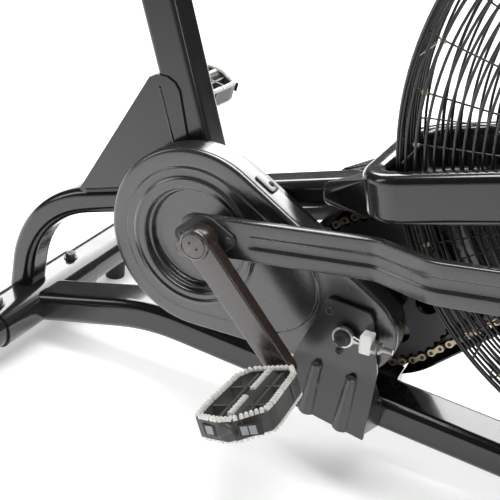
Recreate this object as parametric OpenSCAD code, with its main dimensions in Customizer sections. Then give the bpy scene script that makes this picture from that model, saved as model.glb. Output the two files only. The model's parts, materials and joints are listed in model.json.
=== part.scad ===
// Air bike: a fan-resistance exercise bike with moving handle levers.
// +X is the front (fan end), +Y the rider's left, +Z up. The origin is on the
// floor under the middle of the machine. Side views are laid out from the crank
// axis: a point [x, z] below is measured from that axis.

/* [Stance] */
// Height of the crank axis above the floor
crank_height = 242; // [230:1:280]
// Half of the overall stabiliser width
stab_half = 272; // [250:1:300]
// Height of the seat above its lowest setting
seat_rest = 90; // [0:10:200]

/* [Tubes] */
// Main tube width across the bike
tube_w = 44; // [40:1:50]
// Main tube thickness in the side view
tube_t = 32; // [28:1:36]
// Base beam width across the bike
base_w = 58; // [50:1:64]
// Base beam height
base_t = 40; // [36:1:44]
// Wall thickness of the steel tubes
wall = 2.5; // [2:0.5:3]
// Seat tube lean from the vertical, degrees
seat_lean = 18.5; // [16:0.5:20]

/* [Fan] */
// Outer radius of the wire cage
cage_r = 313; // [300:1:316]
// Number of fan blades
blade_count = 10; // [8:1:14]
// Number of radial wires in each side of the cage
spoke_count = 12; // [8:2:16]
// Height of the fan loop tube
loop_t = 50; // [44:1:54]
// Width of the fan loop tube
loop_w = 24; // [22:1:26]

/* [Drive] */
// Teeth on the crank chainring
ring_teeth = 44; // [42:1:46]
// Teeth on the first small cog
cog_teeth = 15; // [14:1:16]
// Teeth on the second large sprocket
big_teeth = 45; // [42:1:46]
// Teeth on the fan cog
fan_teeth = 15; // [14:1:16]
// Pedal axle radius from the crank axis
pedal_r = 165; // [160:1:170]
// Eccentricity of the push-rod journal
throw = 45.5; // [40:0.5:48]

/* [Hidden] */

// The machine's middle lies this far in front of the crank axis.
mid_x = 282.6;
pitch = 12.7;
lap = 1;
swell = 0.12;

// Side-view layout, measured from the crank axis as [x, z]
jack = [190, -50];
fan = [518, 190];
loop_slope = 15.2;
journal_angle = 42;
journal = throw * [cos(journal_angle), sin(journal_angle)];
pedal_angle = -31.4;
pedal = pedal_r * [cos(pedal_angle), sin(pedal_angle)];
sleeve = [-272, -188];
front_foot = [735, -210];
lever_pivot = [505, 275];
lever_drop = 180;
rod_length = 470;

// Depths across the bike, for the right side (-Y)
cover_face = 66;
cover_back = 39;
chain1_y = -45;
chain2_y = 38;
arm_in = [72, 86];
rod_y = [91, 105];
arm_out = [108, 126];
rod_front_y = [121, 135];
bar_y = [104, 118];
cage_y = [-66, 24];
loop_half = 96;

// Fits and small round parts
spindle_r = 10;
jack_r = 6;
fan_axle_r = 7;
pivot_r = 9;
pedal_axle_r = 6;
post_t = 38.8;
post_w = 34.8;
seat_axis = [-sin(seat_lean), cos(seat_lean)];
seat_top = 350;
saddle_z = 600;
mast_r = 24;

function pitch_r(teeth) = pitch / (2 * sin(180 / teeth));
function turned(p, a) = [p[0] * cos(a) - p[1] * sin(a), p[0] * sin(a) + p[1] * cos(a)];
function heading(a, b) = atan2(b[1] - a[1], b[0] - a[0]);
function loop_z(x) = 56 + tan(loop_slope) * x;
function seat_at(h) = [-2 + h * seat_axis[0] / seat_axis[1], h];
// Frame on the front face of the seat tube where the height pin sits, z pointing outward
pin_height = 308;
module at_pin() translate([seat_at(pin_height)[0], 0, pin_height]) rotate([0, 90 - seat_lean, 0])
  translate([0, 0, 21.5]) children();
// Where two circles round a and b meet, on the side nearer to high x
function meet(a, ra, b, rb) =
  let (d = norm(b - a), u = (b - a) / d, k = (ra * ra - rb * rb + d * d) / (2 * d))
  a + k * u + sqrt(ra * ra - k * k) * [u[1], -u[0]];

pin_right = meet(journal, rod_length, lever_pivot, lever_drop);
pin_left = meet(-journal, rod_length, lever_pivot, lever_drop);

// ---------- helpers ----------
module at_crank() translate([-mid_x, 0, crank_height]) children();

// A cylinder across the bike at side-view point p, from y0 to y1
module pin(p, r, y0, y1, fn = 64)
  translate([p[0], y0, p[1]]) rotate([-90, 0, 0]) cylinder(r = r, h = y1 - y0, $fn = fn);

// A side-view outline made solid from y0 to y1
module plate(y0, y1) translate([0, y1, 0]) rotate([90, 0, 0]) linear_extrude(y1 - y0) children();

// Rounded tube section, t in the side view and w across the bike
module section(t, w, c) {
  square([t - 2 * c, w], center = true);
  square([t, w - 2 * c], center = true);
  for (i = [-1, 1], j = [-1, 1]) translate([i * (t / 2 - c), j * (w / 2 - c)]) circle(r = c, $fn = 32);
}

module straight(a, b, t, w, c)
  translate([a[0], 0, a[1]]) rotate([0, 90 - heading(a, b), 0])
    linear_extrude(norm(b - a)) section(t, w, c);

// Bend of radius r at corner v between neighbours a and b
module bend(a, v, b, r, t, w, c) {
  h1 = heading(a, v);
  turn = (heading(v, b) - h1 + 540) % 360 - 180;
  side = turn > 0 ? 1 : -1;
  start = v - r * tan(abs(turn) / 2) * [cos(h1), sin(h1)];
  centre = start + side * r * [-sin(h1), cos(h1)];
  from = turn > 0 ? h1 - 90 : h1 + 90 + turn;
  translate([centre[0], 0, centre[1]]) rotate([90, 0, 0]) rotate([0, 0, from])
    rotate_extrude(angle = abs(turn), $fn = 96) translate([r, 0]) section(t, w, c);
}

function trim(a, v, b, r) = r * tan(abs((heading(v, b) - heading(a, v) + 540) % 360 - 180) / 2);
function toward(p, q, d) = p + d * (q - p) / norm(q - p);

// Tube along side-view corners, with radius r[i] at corner i; each straight
// reaches a little way into the bends, which are a hair thicker
module bent_tube(p, r, t, w, c) {
  n = len(p);
  for (i = [0 : n - 2]) {
    cut0 = i == 0 ? 0 : trim(p[i - 1], p[i], p[i + 1], r[i]) - lap;
    cut1 = i == n - 2 ? 0 : trim(p[i], p[i + 1], p[i + 2], r[i + 1]) - lap;
    straight(toward(p[i], p[i + 1], cut0), toward(p[i + 1], p[i], cut1), t, w, c);
  }
  for (i = [1 : n - 2]) bend(p[i - 1], p[i], p[i + 1], r[i], t + swell, w + swell, c);
}

module hollow_tube(p, r, t, w, c) difference() {
  bent_tube(p, r, t, w, c);
  bent_tube(p, r, t - 2 * wall, w - 2 * wall, max(c - wall, 1));
}

// Round tube of radius r through 3-D points, with bends of radius br
function unit3(v) = v / norm(v);
module pipe(p, r, br) {
  n = len(p);
  function bend_at(i) = acos(unit3(p[i] - p[i - 1]) * unit3(p[i + 1] - p[i]));
  function cut(i) = i == 0 || i == n - 1 ? 0 : br * tan(bend_at(i) / 2);
  for (i = [0 : n - 2]) {
    d = unit3(p[i + 1] - p[i]);
    from = cut(i) - (i == 0 ? 0 : lap);
    to = norm(p[i + 1] - p[i]) - cut(i + 1) + (i == n - 2 ? 0 : lap);
    translate(p[i] + from * d) rotate([0, acos(d[2]), atan2(d[1], d[0])])
      cylinder(r = r, h = to - from, $fn = 48);
  }
  for (i = [1 : n - 2]) {
    d1 = unit3(p[i] - p[i - 1]);
    d2 = unit3(p[i + 1] - p[i]);
    out = unit3(d1 - d2 * 1 + (d1 * d2 - 1) * d1);
    start = p[i] - cut(i) * d1;
    c = start - br * out;
    z = cross(out, d1);
    multmatrix([
      [out[0], d1[0], z[0], c[0]], [out[1], d1[1], z[1], c[1]], [out[2], d1[2], z[2], c[2]], [0, 0, 0, 1]
    ]) rotate_extrude(angle = bend_at(i), $fn = 96) translate([br, 0]) circle(r = r + swell / 2, $fn = 48);
  }
}

// Outline wrapped round two circles, like a belt, with n points on each end
module wrapped(p, rp, q, rq, n = 40) {
  a = heading(p, q);
  b = acos((rp - rq) / norm(q - p));
  polygon([
    for (i = [0 : n]) p + rp * [cos(a + b + i * (360 - 2 * b) / n), sin(a + b + i * (360 - 2 * b) / n)],
    for (i = [0 : n]) q + rq * [cos(a - b + i * 2 * b / n), sin(a - b + i * 2 * b / n)]
  ]);
}

module disc(p, r) translate(p) circle(r = r, $fn = 96);

module slab(p, rp, q, rq, y0, y1) plate(y0, y1) wrapped(p, rp, q, rq);

// Toothed wheel outline that stays inside its chain's rollers
module toothed(teeth, bore) difference() {
  tip = pitch_r(teeth) - 4.6;
  polygon([
    for (i = [0 : teeth - 1], k = [0 : 3])
      (tip - (k == 1 || k == 2 ? 0 : 3)) * [cos((i + k / 4) * 360 / teeth), sin((i + k / 4) * 360 / teeth)]
  ]);
  circle(r = bore, $fn = 64);
}

module bolt_head(p, r, y, h) pin(p, r, y, y + h, 6);

module both_sides() {
  children();
  mirror([0, 1, 0]) children();
}

// ---------- frame ----------
hoop_foot = [-287, -178];
main_path = [hoop_foot, [-265, -41.7], [198, 93]];
base_path = [[-250, -186.2], [-83, -144], front_foot];

module sleeve_solid()
  translate([sleeve[0], 95, sleeve[1]]) rotate([90, 0, 0]) linear_extrude(190) section(66, 50, 22);

module main_bar(grow = 0)
  straight(toward(main_path[1], main_path[2], 120), main_path[2], tube_t + grow, tube_w + grow, 10);
module base_front_bar() straight(toward(base_path[1], front_foot, 60), front_foot, base_t, base_w, 11);

module main_tube() color("#151517") at_crank() difference() {
  hollow_tube(main_path, [0, 140, 0], tube_t, tube_w, 10);
  sleeve_solid();
  loop_rear_bar();
}

seat_foot = seat_at(37);
module seat_tube() color("#1d1c1b") at_crank() difference() {
  union() {
    straight(seat_foot, seat_at(seat_top), 44, 40, 7);
    at_pin() cylinder(r = 11, h = 18, $fn = 48);
  }
  straight(seat_at(30), seat_at(seat_top + 5), 44 - 2 * wall, 40 - 2 * wall, 4);
  at_pin() translate([0, 0, -4]) cylinder(r = 5.05, h = 30, $fn = 48);
  main_bar();
}

// Folded gusset: two cheeks and a back strip
gusset_half = 22.6;
module gusset_outline() polygon([
  [-88, 159], [-183, 1], [-176, -2], [-52, 34], [-30, 40], [-38, 100], [-50, 150], [-56, 158],
  [-66, 163], [-80, 163]
]);
module seat_gusset() color("#2a2826") at_crank() difference() {
  union() {
    both_sides() plate(gusset_half - wall, gusset_half) gusset_outline();
    plate(-gusset_half, gusset_half) polygon([[-88, 159], [-183, 1], [-180, 0], [-85.6, 157]]);
  }
  main_bar();
}

module base_beam() color("#151517") at_crank() difference() {
  hollow_tube(base_path, [0, 280, 0], base_t, base_w, 11);
  sleeve_solid();
  front_stab_solid();
}

// Post between the beam and the main tube, with the bearing shell across it
module crank_post() color("#1a1a1c") at_crank() difference() {
  union() {
    straight([-4, -160], [-4, 36], 46, 50, 8);
    pin([0, 0], 23, -34, 34);
  }
  straight([-4, -161], [-4, -28], 41, 45, 5.5);
  pin([0, 0], 17, -35, 35);
  main_bar();
  straight([-90, -144.5], [40, -150.4], base_t, base_w, 11);
}

module rear_sleeve() color("#151517") at_crank() difference() {
  sleeve_solid();
  translate([sleeve[0], 96, sleeve[1]]) rotate([90, 0, 0]) linear_extrude(192) section(61, 45, 19.5);
  for (s = [-1, 1]) translate([sleeve[0], s * 78, sleeve[1]]) cylinder(r = 4.2, h = 40, $fn = 32);
}

module stabiliser(p, half) translate([p[0], half, p[1]]) rotate([90, 0, 0]) difference() {
  linear_extrude(2 * half) section(60, 44, 19);
  translate([0, 0, -1]) linear_extrude(2 * half + 2) section(60 - 2 * wall, 44 - 2 * wall, 16.5);
}
module rear_stabiliser() color("#1d1d1f") at_crank() stabiliser(sleeve, stab_half - 12);
module front_stab_solid()
  translate([front_foot[0], 120, front_foot[1]]) rotate([90, 0, 0]) linear_extrude(240) section(60, 44, 19);
wheel_at = [front_foot[0] + 60, -crank_height + 32];
module wheel_fork(y0, y1) plate(y0, y1) hull() {
  translate([front_foot[0] + 18, front_foot[1]]) circle(r = 16, $fn = 32);
  translate(wheel_at) circle(r = 10, $fn = 32);
}
// Front stabiliser with its welded wheel forks
module front_stabiliser() color("#1d1d1f") at_crank() {
  stabiliser(front_foot, stab_half - 32);
  both_sides() for (y = [146, 181]) difference() {
    wheel_fork(y, y + 4);
    translate([front_foot[0], 200, front_foot[1]]) rotate([90, 0, 0]) linear_extrude(70) section(60, 44, 19);
    pin(wheel_at, 5, 140, 190);
  }
}

module rubber_foot(p, y, r) translate([p[0], y, -crank_height])
  cylinder(r1 = r - 1.5, r2 = r, h = crank_height + p[1] - 22, $fn = 48);
module rubber_feet() color("#222222") at_crank() for (s = [-1, 1]) {
  rubber_foot(sleeve, s * 190, 16);
  rubber_foot(front_foot, s * 110, 18);
}

module end_caps() color("#18181a") at_crank()
  for (e = [[sleeve, stab_half - 12], [front_foot, stab_half - 32]]) both_sides()
    translate([e[0][0], e[1] + 12, e[0][1]]) rotate([90, 0, 0]) union() {
      linear_extrude(12) section(62, 46, 20);
      translate([0, 0, 12]) linear_extrude(14) section(54.6, 38.6, 16);
    }

// Bolts of the rear sleeve, screws of the covers and brackets, wheel axles
module tab_screw(p, a, y) translate([p[0], y, p[1]]) rotate([0, 90 - a, 0]) {
  cylinder(r = 4.5, h = 2.4, $fn = 32);
  translate([0, 0, -5]) cylinder(r = 2, h = 5, $fn = 32);
}
module fasteners() color("#c4c4c4") at_crank() {
  for (s = [-1, 1]) translate([sleeve[0], s * 78, sleeve[1] + 25]) {
    cylinder(r = 9, h = 2, $fn = 48);
    translate([0, 0, 2]) cylinder(r = 6.5, h = 6, $fn = 6);
    translate([0, 0, -2.9]) cylinder(r = 4, h = 3.4, $fn = 32);
  }
  for (p = bracket_screws) {
    pin(p, 5, -77, -74);
    pin(p, 3, -74, -66.2);
  }
  pin([226, -5], 4.5, -34, -30.5);
  tab_screw(tab_at, tab_angle, tab_screw_y);
  both_sides() {
    pin(wheel_at, 5, 146, 185);
    pin(wheel_at, 8, 185, 188);
  }
}

// ---------- fan loop and mast ----------
loop_rear = 184;
loop_front = 866;
// Closed path in the loop's own sloping plane
module in_loop_plane() translate([0, 0, loop_z(0)]) rotate([0, -loop_slope, 0]) rotate([-90, 0, 0]) children();
function along(x) = x / cos(loop_slope);
u0 = along(loop_rear) + loop_w / 2;
u1 = along(loop_front) - loop_w / 2;
v0 = loop_half - loop_w / 2;
loop_path = [[along(480), -v0], [u0, -v0], [u0, v0], [u1, v0], [u1, -v0], [along(480), -v0]];
module loop_solid(w, t, c) in_loop_plane() bent_tube(loop_path, [0, 34, 34, 60, 60, 0], w, t, c);
// Straight cross bars of the loop, used where other tubes meet it
module loop_rear_bar() in_loop_plane() straight([u0, -50], [u0, 50], loop_w, loop_t, 9);
module loop_front_bar() in_loop_plane() straight([u1, -30], [u1, 30], loop_w, loop_t, 9);
module fan_loop() color("#101012") at_crank() difference() {
  loop_solid(loop_w, loop_t, 9);
  loop_solid(loop_w - 2 * wall, loop_t - 2 * wall, 6.5);
  pin(fan, fan_axle_r + 0.05, -loop_half - 5, loop_half + 5);
}

// Round-nosed cheeks that brace the loop to the main tube
module loop_cheeks() color("#121214") at_crank() difference() {
  both_sides() hull() {
    translate([141, 24, 79]) rotate([0, -loop_slope, 0]) scale([1, 0.7, 1]) sphere(r = 14, $fn = 24);
    translate([188, 30, 93]) rotate([0, -loop_slope, 0]) cube([2, 36, 42], center = true);
  }
  loop_rear_bar();
  main_bar();
}

mast_path = [[735, -212], [842, -120], [888, 120], [872, 430], [705, 668], [520, 800]];
mast_bends = [0, 120, 500, 260, 300, 0];
module front_mast() color("#151517") at_crank() difference() {
  hollow_tube(mast_path, mast_bends, 40, 50, 12);
  loop_front_bar();
  base_front_bar();
  front_stab_solid();
}

// Plates on the loop that carry the lever pivots
bracket_foot = [505, loop_z(505)];
module lever_brackets() color("#151517") at_crank() both_sides() difference() {
  union() {
    plate(-loop_half - 6, -loop_half) union() {
      disc(lever_pivot, 24);
      polygon([lever_pivot + [-24, 0], bracket_foot + [-46, -22], bracket_foot + [46, 8], lever_pivot + [24, 0]]);
    }
    pin(lever_pivot, pivot_r, -135, -loop_half - 3);
    pin(lever_pivot, 11.5, -139, -134.5);
  }
  pin(fan, 14, -loop_half - 7, -loop_half + 1);
}

// ---------- drive supports and covers ----------
// Side outline of the right bracket, and its bent section across the bike
bracket_side = [
  [167, -16], [213, -19], [229, -84], [229, -162], [147, -150], [133, -130], [135, -92], [163, -26]
];
bracket_screws = [[169.5, -29], [185, -73]];
bracket_bend = [[-70, -10], [-70, -90], [-87, -165], [-91, -164], [-74, -89.5], [-74, -10]];
module across(x, t) translate([x, 0, 0]) rotate([90, 0, 90]) linear_extrude(t) children();
module bracket_right() color("#37373a") at_crank() difference() {
  union() {
    intersection() {
      plate(-100, -60) polygon(bracket_side);
      across(120, 120) polygon(bracket_bend);
    }
    across(224, 4) polygon([[-72, -96], [-87, -158], [-26, -190], [-26, -150]]);
    across(150, 4) polygon([[-72, -96], [-84, -146], [-26, -180], [-26, -140]]);
  }
  base_front_bar();
  plate(-80, -60) polygon([
    [jack[0] - 14, jack[1] - 6], [jack[0] + 5, jack[1] - 6], [jack[0] + 9, jack[1]],
    [jack[0] + 5, jack[1] + 6], [jack[0] - 14, jack[1] + 6]
  ]);
  for (p = bracket_screws) pin(p, 3.02, -80, -60);
}

module bracket_left() color("#202022") at_crank() difference() {
  union() {
    plate(48, 52) polygon([[170, -10], [212, -10], [228, -90], [226, -190], [150, -185], [146, -110]]);
    plate(27, 52) polygon([[224, -150], [228, -150], [226, -190], [222, -190]]);
  }
  base_front_bar();
  pin(jack, jack_r + 0.05, 40, 60);
}

big_end = 107;
small_end = 52;
dish_r = 58;
dish_depth = 13;
module cover_body(inset, y0, y1) slab([0, 0], big_end - inset, jack, small_end - inset, y0, y1);
// Tab on the upper edge of the outer shell, at this point and normal direction
tab_angle = heading([0, 0], jack) + acos((big_end - small_end) / norm(jack));
tab_at = big_end * [cos(tab_angle), sin(tab_angle)] + 21 * [sin(tab_angle), -cos(tab_angle)];

tab_screw_y = -43.5;

// Outer half: a drawn shell with a central dish and a ring groove
module cover_right() color("#302e2d") at_crank() difference() {
  union() {
    difference() {
      cover_body(0, -cover_face, -cover_back);
      cover_body(2, -cover_face + 2, -cover_back + 1);
    }
    pin([0, 0], dish_r + 5, -cover_face, -cover_face + dish_depth + 2);
    translate([tab_at[0], 0, tab_at[1]]) rotate([0, 90 - tab_angle, 0])
      translate([-13, -cover_back - 1, -2]) cube([26, 7, 2]);
  }
  pin([0, 0], dish_r, -cover_face - 1, -cover_face + dish_depth, 96);
  pin([0, 0], dish_r + 3, -cover_face + dish_depth + 2, -cover_back);
  pin([0, 0], 27, -cover_face, -cover_back);
  pin(jack, 12, -cover_face - 1, -cover_back);
  translate([tab_at[0], tab_screw_y, tab_at[1]]) rotate([0, 90 - tab_angle, 0])
    translate([0, 0, -6]) cylinder(r = 2.02, h = 8, $fn = 32);
  difference() {
    pin([0, 0], 87.5, -cover_face - 1, -cover_face + 0.8, 96);
    pin([0, 0], 85.5, -cover_face - 2, -cover_face + 2, 96);
  }
}

module cover_right_inner() color("#262526") at_crank() difference() {
  union() {
    difference() {
      cover_body(2.4, -cover_back - 2, -28);
      cover_body(4, -cover_back - 3, -29.6);
    }
    pin([222, -14], 15, -30.4, -28);
  }
  pin([0, 0], 24, -45, 0);
  pin(jack, 16.5, -45, 0);
  straight([-4, -161], [-4, 36], 47, 66, 8);
}

// Left cover: a dished shell open towards the frame, round the second chain
module cover_left() color("#141415") at_crank() difference() {
  slab(jack, 104, fan, 42, 29.5, 64);
  slab(jack, 102, fan, 40, 28, 62);
  pin(jack, 12, 50, 70);
  pin(fan, 16, 50, 70);
  plate(28, 62) polygon([[222, -190], [240, -100], [140, -100], [140, -190]]);
}

// Chain tensioner on the right bracket: eye bolt, plastic block and lock nut
module tensioner_block() color("#f2f2f0") at_crank() difference() {
  translate([208, -90, jack[1] - 10]) cube([12, 15, 20]);
  translate([200, -82, jack[1]]) rotate([0, 90, 0]) cylinder(r = 3.1, h = 40, $fn = 32);
}
module tensioner_bolt() color("#c8c6c0") at_crank() {
  difference() {
    union() {
      pin(jack, 11, -86, -79);
      translate([jack[0] + 8, -82, jack[1]]) rotate([0, 90, 0]) cylinder(r = 3, h = 40, $fn = 32);
      translate([220.2, -82, jack[1]]) rotate([0, 90, 0]) cylinder(r = 7, h = 6, $fn = 6);
    }
    pin(jack, jack_r + 0.05, -90, -70);
  }
}

// ---------- drive ----------
module jackshaft_axle() color("#b5b5b5") at_crank() {
  pin(jack, jack_r, -90.5, 66);
  pin(jack, 10.5, -90.5, -86.1, 6);
  pin(jack, 10.5, 52.1, 60, 6);
  for (y = [[-69.5, -60.5], [43, 47.9]]) difference() {
    pin(jack, 9, y[0], y[1]);
    pin(jack, jack_r, y[0] - 1, y[1] + 1);
  }
}

module bottom_bracket() color("#8f8f92") at_crank() both_sides() difference() {
  union() {
    pin([0, 0], 16.98, -34, -22);
    pin([0, 0], 21, -36, -34);
  }
  pin([0, 0], spindle_r + 0.04, -37, -20);
}

module chain_band(y, p, rp, q, rq) color("#b08a3e") at_crank() plate(y - 4, y + 4) difference() {
  wrapped(p, rp + 4.2, q, rq + 4.2);
  wrapped(p, rp - 4.2, q, rq - 4.2);
}
module chain_first() chain_band(chain1_y, [0, 0], pitch_r(ring_teeth), jack, pitch_r(cog_teeth));
module chain_second() chain_band(chain2_y, jack, pitch_r(big_teeth), fan, pitch_r(fan_teeth));

module crank_spindle() color("#9a9a9a") at_crank() {
  pin([0, 0], spindle_r, -arm_in[0], arm_in[0]);
  pin([0, 0], 14, chain1_y - 3.5, -36.5);
}

module chainring() color("#2c2c2e") at_crank() difference() {
  translate([0, chain1_y + 1.5, 0]) rotate([90, 0, 0]) linear_extrude(3) toothed(ring_teeth, 14);
  for (a = [0 : 72 : 359]) pin(54 * [cos(a), sin(a)], 15, -60, -30);
}

// One side of the crank: inner web, journal pin and outer arm
module crank_side() {
  plate(-arm_in[1], -arm_in[0]) wrapped([0, 0], 20, journal, 16);
  pin(journal, 10, -arm_out[0], -arm_in[1]);
  difference() {
    plate(-arm_out[1], -arm_out[0]) wrapped(journal, 17.5, pedal, 13);
    pin(pedal, pedal_axle_r, -arm_out[1] - 1, -arm_out[0] + 1);
  }
}
module crank_arms() color("#2b2725") at_crank() {
  crank_side();
  rotate([0, 180, 0]) mirror([0, 1, 0]) crank_side();
}
module crank_caps() color("#3a3836") at_crank() for (s = [0, 1]) rotate([0, 180 * s, 0]) mirror([0, s, 0])
  difference() {
    pin(journal, 15, -arm_out[1] - 2.5, -arm_out[1]);
    for (d = [-5, 5]) pin(journal + [d, -d / 2], 1.4, -arm_out[1] - 3, -arm_out[1] - 1);
  }

module pedal_axle() {
  pin(pedal, pedal_axle_r, -236, -arm_out[0]);
  pin(pedal, 9, -131, -arm_out[1]);
}
module pedal_axles() color("#a8a8a8") at_crank() {
  pedal_axle();
  rotate([0, 180, 0]) mirror([0, 1, 0]) pedal_axle();
}

// Platform pedal: inner and outer rails, tread bars and a bearing barrel
pedal_half = 38;
module pedal_body() difference() {
  union() {
    for (y = [-240, -142]) plate(y, y + 8) polygon([
      [-pedal_half, -7], [-30, -12], [30, -12], [pedal_half, -7], [pedal_half, 7], [30, 12], [-30, 12], [-pedal_half, 7]
    ]);
    for (s = [-1, 1]) plate(-240, -134) translate([s * 32, 0]) square([9, 20], center = true);
    pin([0, 0], 12, -240, -134);
    pin([0, 0], 10, -243, -239);
  }
  pin([0, 0], pedal_axle_r + 0.05, -237, -130);
}
module pedal_right() color("#3c3c3e") at_crank() translate([pedal[0], 0, pedal[1]]) rotate([0, -22, 0]) pedal_body();
module pedal_left() color("#3c3c3e") at_crank() mirror([0, 1, 0]) translate([-pedal[0], 0, -pedal[1]])
  rotate([0, 12, 0]) pedal_body();

// Push rod: a flat strip that steps outward to reach its lever
rod_bend = [185, 250];
rod_thick = 12;
module strip(y0, y1) polygon([
  [18, y0], [rod_bend[0], y0], [rod_bend[1], y1], [rod_length + 6, y1],
  [rod_length + 6, y1 - rod_thick], [rod_bend[1] + 3, y1 - rod_thick], [rod_bend[0] + 3, y0 - rod_thick], [18, y0 - rod_thick]
]);
module push_rod(from, to) difference() {
  translate([from[0], 0, from[1]]) rotate([0, -heading(from, to), 0]) union() {
    translate([0, 0, -22]) linear_extrude(44) strip(-rod_y[0] - 1, -rod_front_y[0] - 1);
    pin([0, 0], 27, -rod_y[1], -rod_y[0]);
    pin([rod_length, 0], 24, -rod_front_y[1], -rod_front_y[0]);
  }
  pin(from, 19, -rod_y[1] - 5, -rod_y[0] + 5);
  pin(to, 6, -rod_front_y[1] - 5, -rod_front_y[0] + 5);
}
module rod_right() color("#2e2d2d") at_crank() push_rod(journal, pin_right);
module rod_left() color("#2e2d2d") at_crank() mirror([0, 1, 0]) push_rod(-journal, pin_left);

module rod_bearing(from, to) {
  difference() {
    pin(from, 18.98, -rod_y[1], -rod_y[0]);
    pin(from, 10.04, -rod_y[1] - 1, -rod_y[0] + 1);
  }
  for (s = [-1, 1]) pin(from + s * 23 * [cos(heading(from, to)), sin(heading(from, to))], 3.5, -rod_y[1] - 2.6, -rod_y[1]);
  pin(to, 5.98, -rod_front_y[1] - 5, -rod_front_y[0]);
  pin(to, 11, -rod_front_y[1] - 7, -rod_front_y[1], 6);
}
module rod_bearing_right() color("#1b1b1c") at_crank() rod_bearing(journal, pin_right);
module rod_bearing_left() color("#1b1b1c") at_crank() mirror([0, 1, 0]) rod_bearing(-journal, pin_left);

module jackshaft_hub() color("#8d8d90") at_crank() difference() {
  union() {
    pin(jack, 13, -58, 42);
    pin(jack, 24, 30, 36.4);
    translate([jack[0], chain1_y + 1.5, jack[1]]) rotate([90, 0, 0]) linear_extrude(3) toothed(cog_teeth, 10);
  }
  pin(jack, jack_r + 0.05, -60, 44);
}

module big_sprocket() color("#242426") at_crank() difference() {
  translate([jack[0], chain2_y + 1.5, jack[1]]) rotate([90, 0, 0]) linear_extrude(3) toothed(big_teeth, 13);
  for (a = [0 : 60 : 359]) pin(jack + 54 * [cos(a), sin(a)], 14, 20, 50);
}

module fan_axle() color("#b5b5b5") at_crank() {
  pin(fan, fan_axle_r, -loop_half - 4, loop_half + 4);
  both_sides() pin(fan, 12, -loop_half + 26, -loop_half + 31);
}

module fan_hub() color("#77777a") at_crank() difference() {
  union() {
    pin(fan, 16, -58, 48);
    pin(fan, 46, -24, -18);
    translate([fan[0], chain2_y + 1.5, fan[1]]) rotate([90, 0, 0]) linear_extrude(3) toothed(fan_teeth, 12);
  }
  pin(fan, fan_axle_r + 0.05, -70, 60);
}

blade_tip = 218;
module fan_blades() color("#2a2a2c") at_crank() translate([fan[0], -21, fan[1]]) {
  difference() {
    pin([0, 0], 74, -6, -3);
    pin([0, 0], 16, -7, 0);
  }
  for (i = [0 : blade_count - 1]) rotate([0, i * 360 / blade_count, 0]) union() {
    translate([60, -3.4, -4]) cube([blade_tip - 60, 3, 8]);
    translate([100, -34, -1.2]) cube([blade_tip - 100, 62, 2.4]);
  }
}

// ---------- fan cage ----------
wire = 2;
module hoop_wire(r, y, w = wire) translate([fan[0], y, fan[1]]) rotate([90, 0, 0])
  rotate_extrude($fn = 128) translate([r, 0]) circle(r = w, $fn = 16);
module cage_rim() color("#0e0e10") at_crank() {
  for (i = [1 : 6]) hoop_wire(cage_r - 2, cage_y[0] + i * (cage_y[1] - cage_y[0]) / 7);
  for (a = [-7 : 60 : 352]) pin(fan + (cage_r - 5.2) * [cos(a), sin(a)], wire, cage_y[0] + 4.7, cage_y[1] - 4.7, 16);
}
module cage_side(y, out) {
  for (r = [62 : 31 : cage_r - 10]) hoop_wire(r, y, wire);
  hoop_wire(cage_r - 14, y, 3);
  for (i = [0 : spoke_count - 1]) translate([fan[0], y - out * 2.6, fan[1]]) rotate([0, i * 360 / spoke_count + 7, 0])
    translate([56, 0, 0]) rotate([0, 90, 0]) cylinder(r = wire, h = cage_r - 60, $fn = 16);
  difference() {
    pin(fan, 64, y - 2, y + 2);
    pin(fan, 17, y - 3, y + 3);
  }
}
module cage_right() color("#0e0e10") at_crank() cage_side(cage_y[0], -1);
module cage_left() color("#0e0e10") at_crank() cage_side(cage_y[1], 1);

// ---------- handle levers ----------
// Lever at angle a: a flat lower bar, a pivot boss and a bent upper tube
module lever(a, pin_at) difference() {
  union() {
    slab(lever_pivot, 19, pin_at, 15, -bar_y[1], -bar_y[0]);
    pin(lever_pivot, 22, -bar_y[1] - 12, -bar_y[0]);
    translate([lever_pivot[0], -bar_y[1] - 6, lever_pivot[1]]) rotate([0, -a, 0])
      pipe([[0, 0, 12], [-10, 0, 150], [-60, -64, 330], [-128, -110, 470], [-190, -114, 600]], 15, 90);
  }
  pin(lever_pivot, pivot_r + 0.05, -150, -90);
}
function swing(pin_at) = heading(pin_at, lever_pivot) - 90;
module lever_right() color("#19191b") at_crank() lever(swing(pin_right), pin_right);
module lever_left() color("#19191b") at_crank() mirror([0, 1, 0]) lever(swing(pin_left), pin_left);

module grip(a) translate([lever_pivot[0], -bar_y[1] - 6, lever_pivot[1]]) rotate([0, -a, 0])
  pipe([[-191, -114.1, 602.5], [-222, -116, 669], [-238, -117, 740]], 18, 80);
module grip_right() color("#222224") at_crank() grip(swing(pin_right));
module grip_left() color("#222224") at_crank() mirror([0, 1, 0]) grip(swing(pin_left));

// ---------- seat ----------
post_foot = seat_at(130 + seat_rest);
post_head = seat_at(saddle_z - 30);
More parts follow.
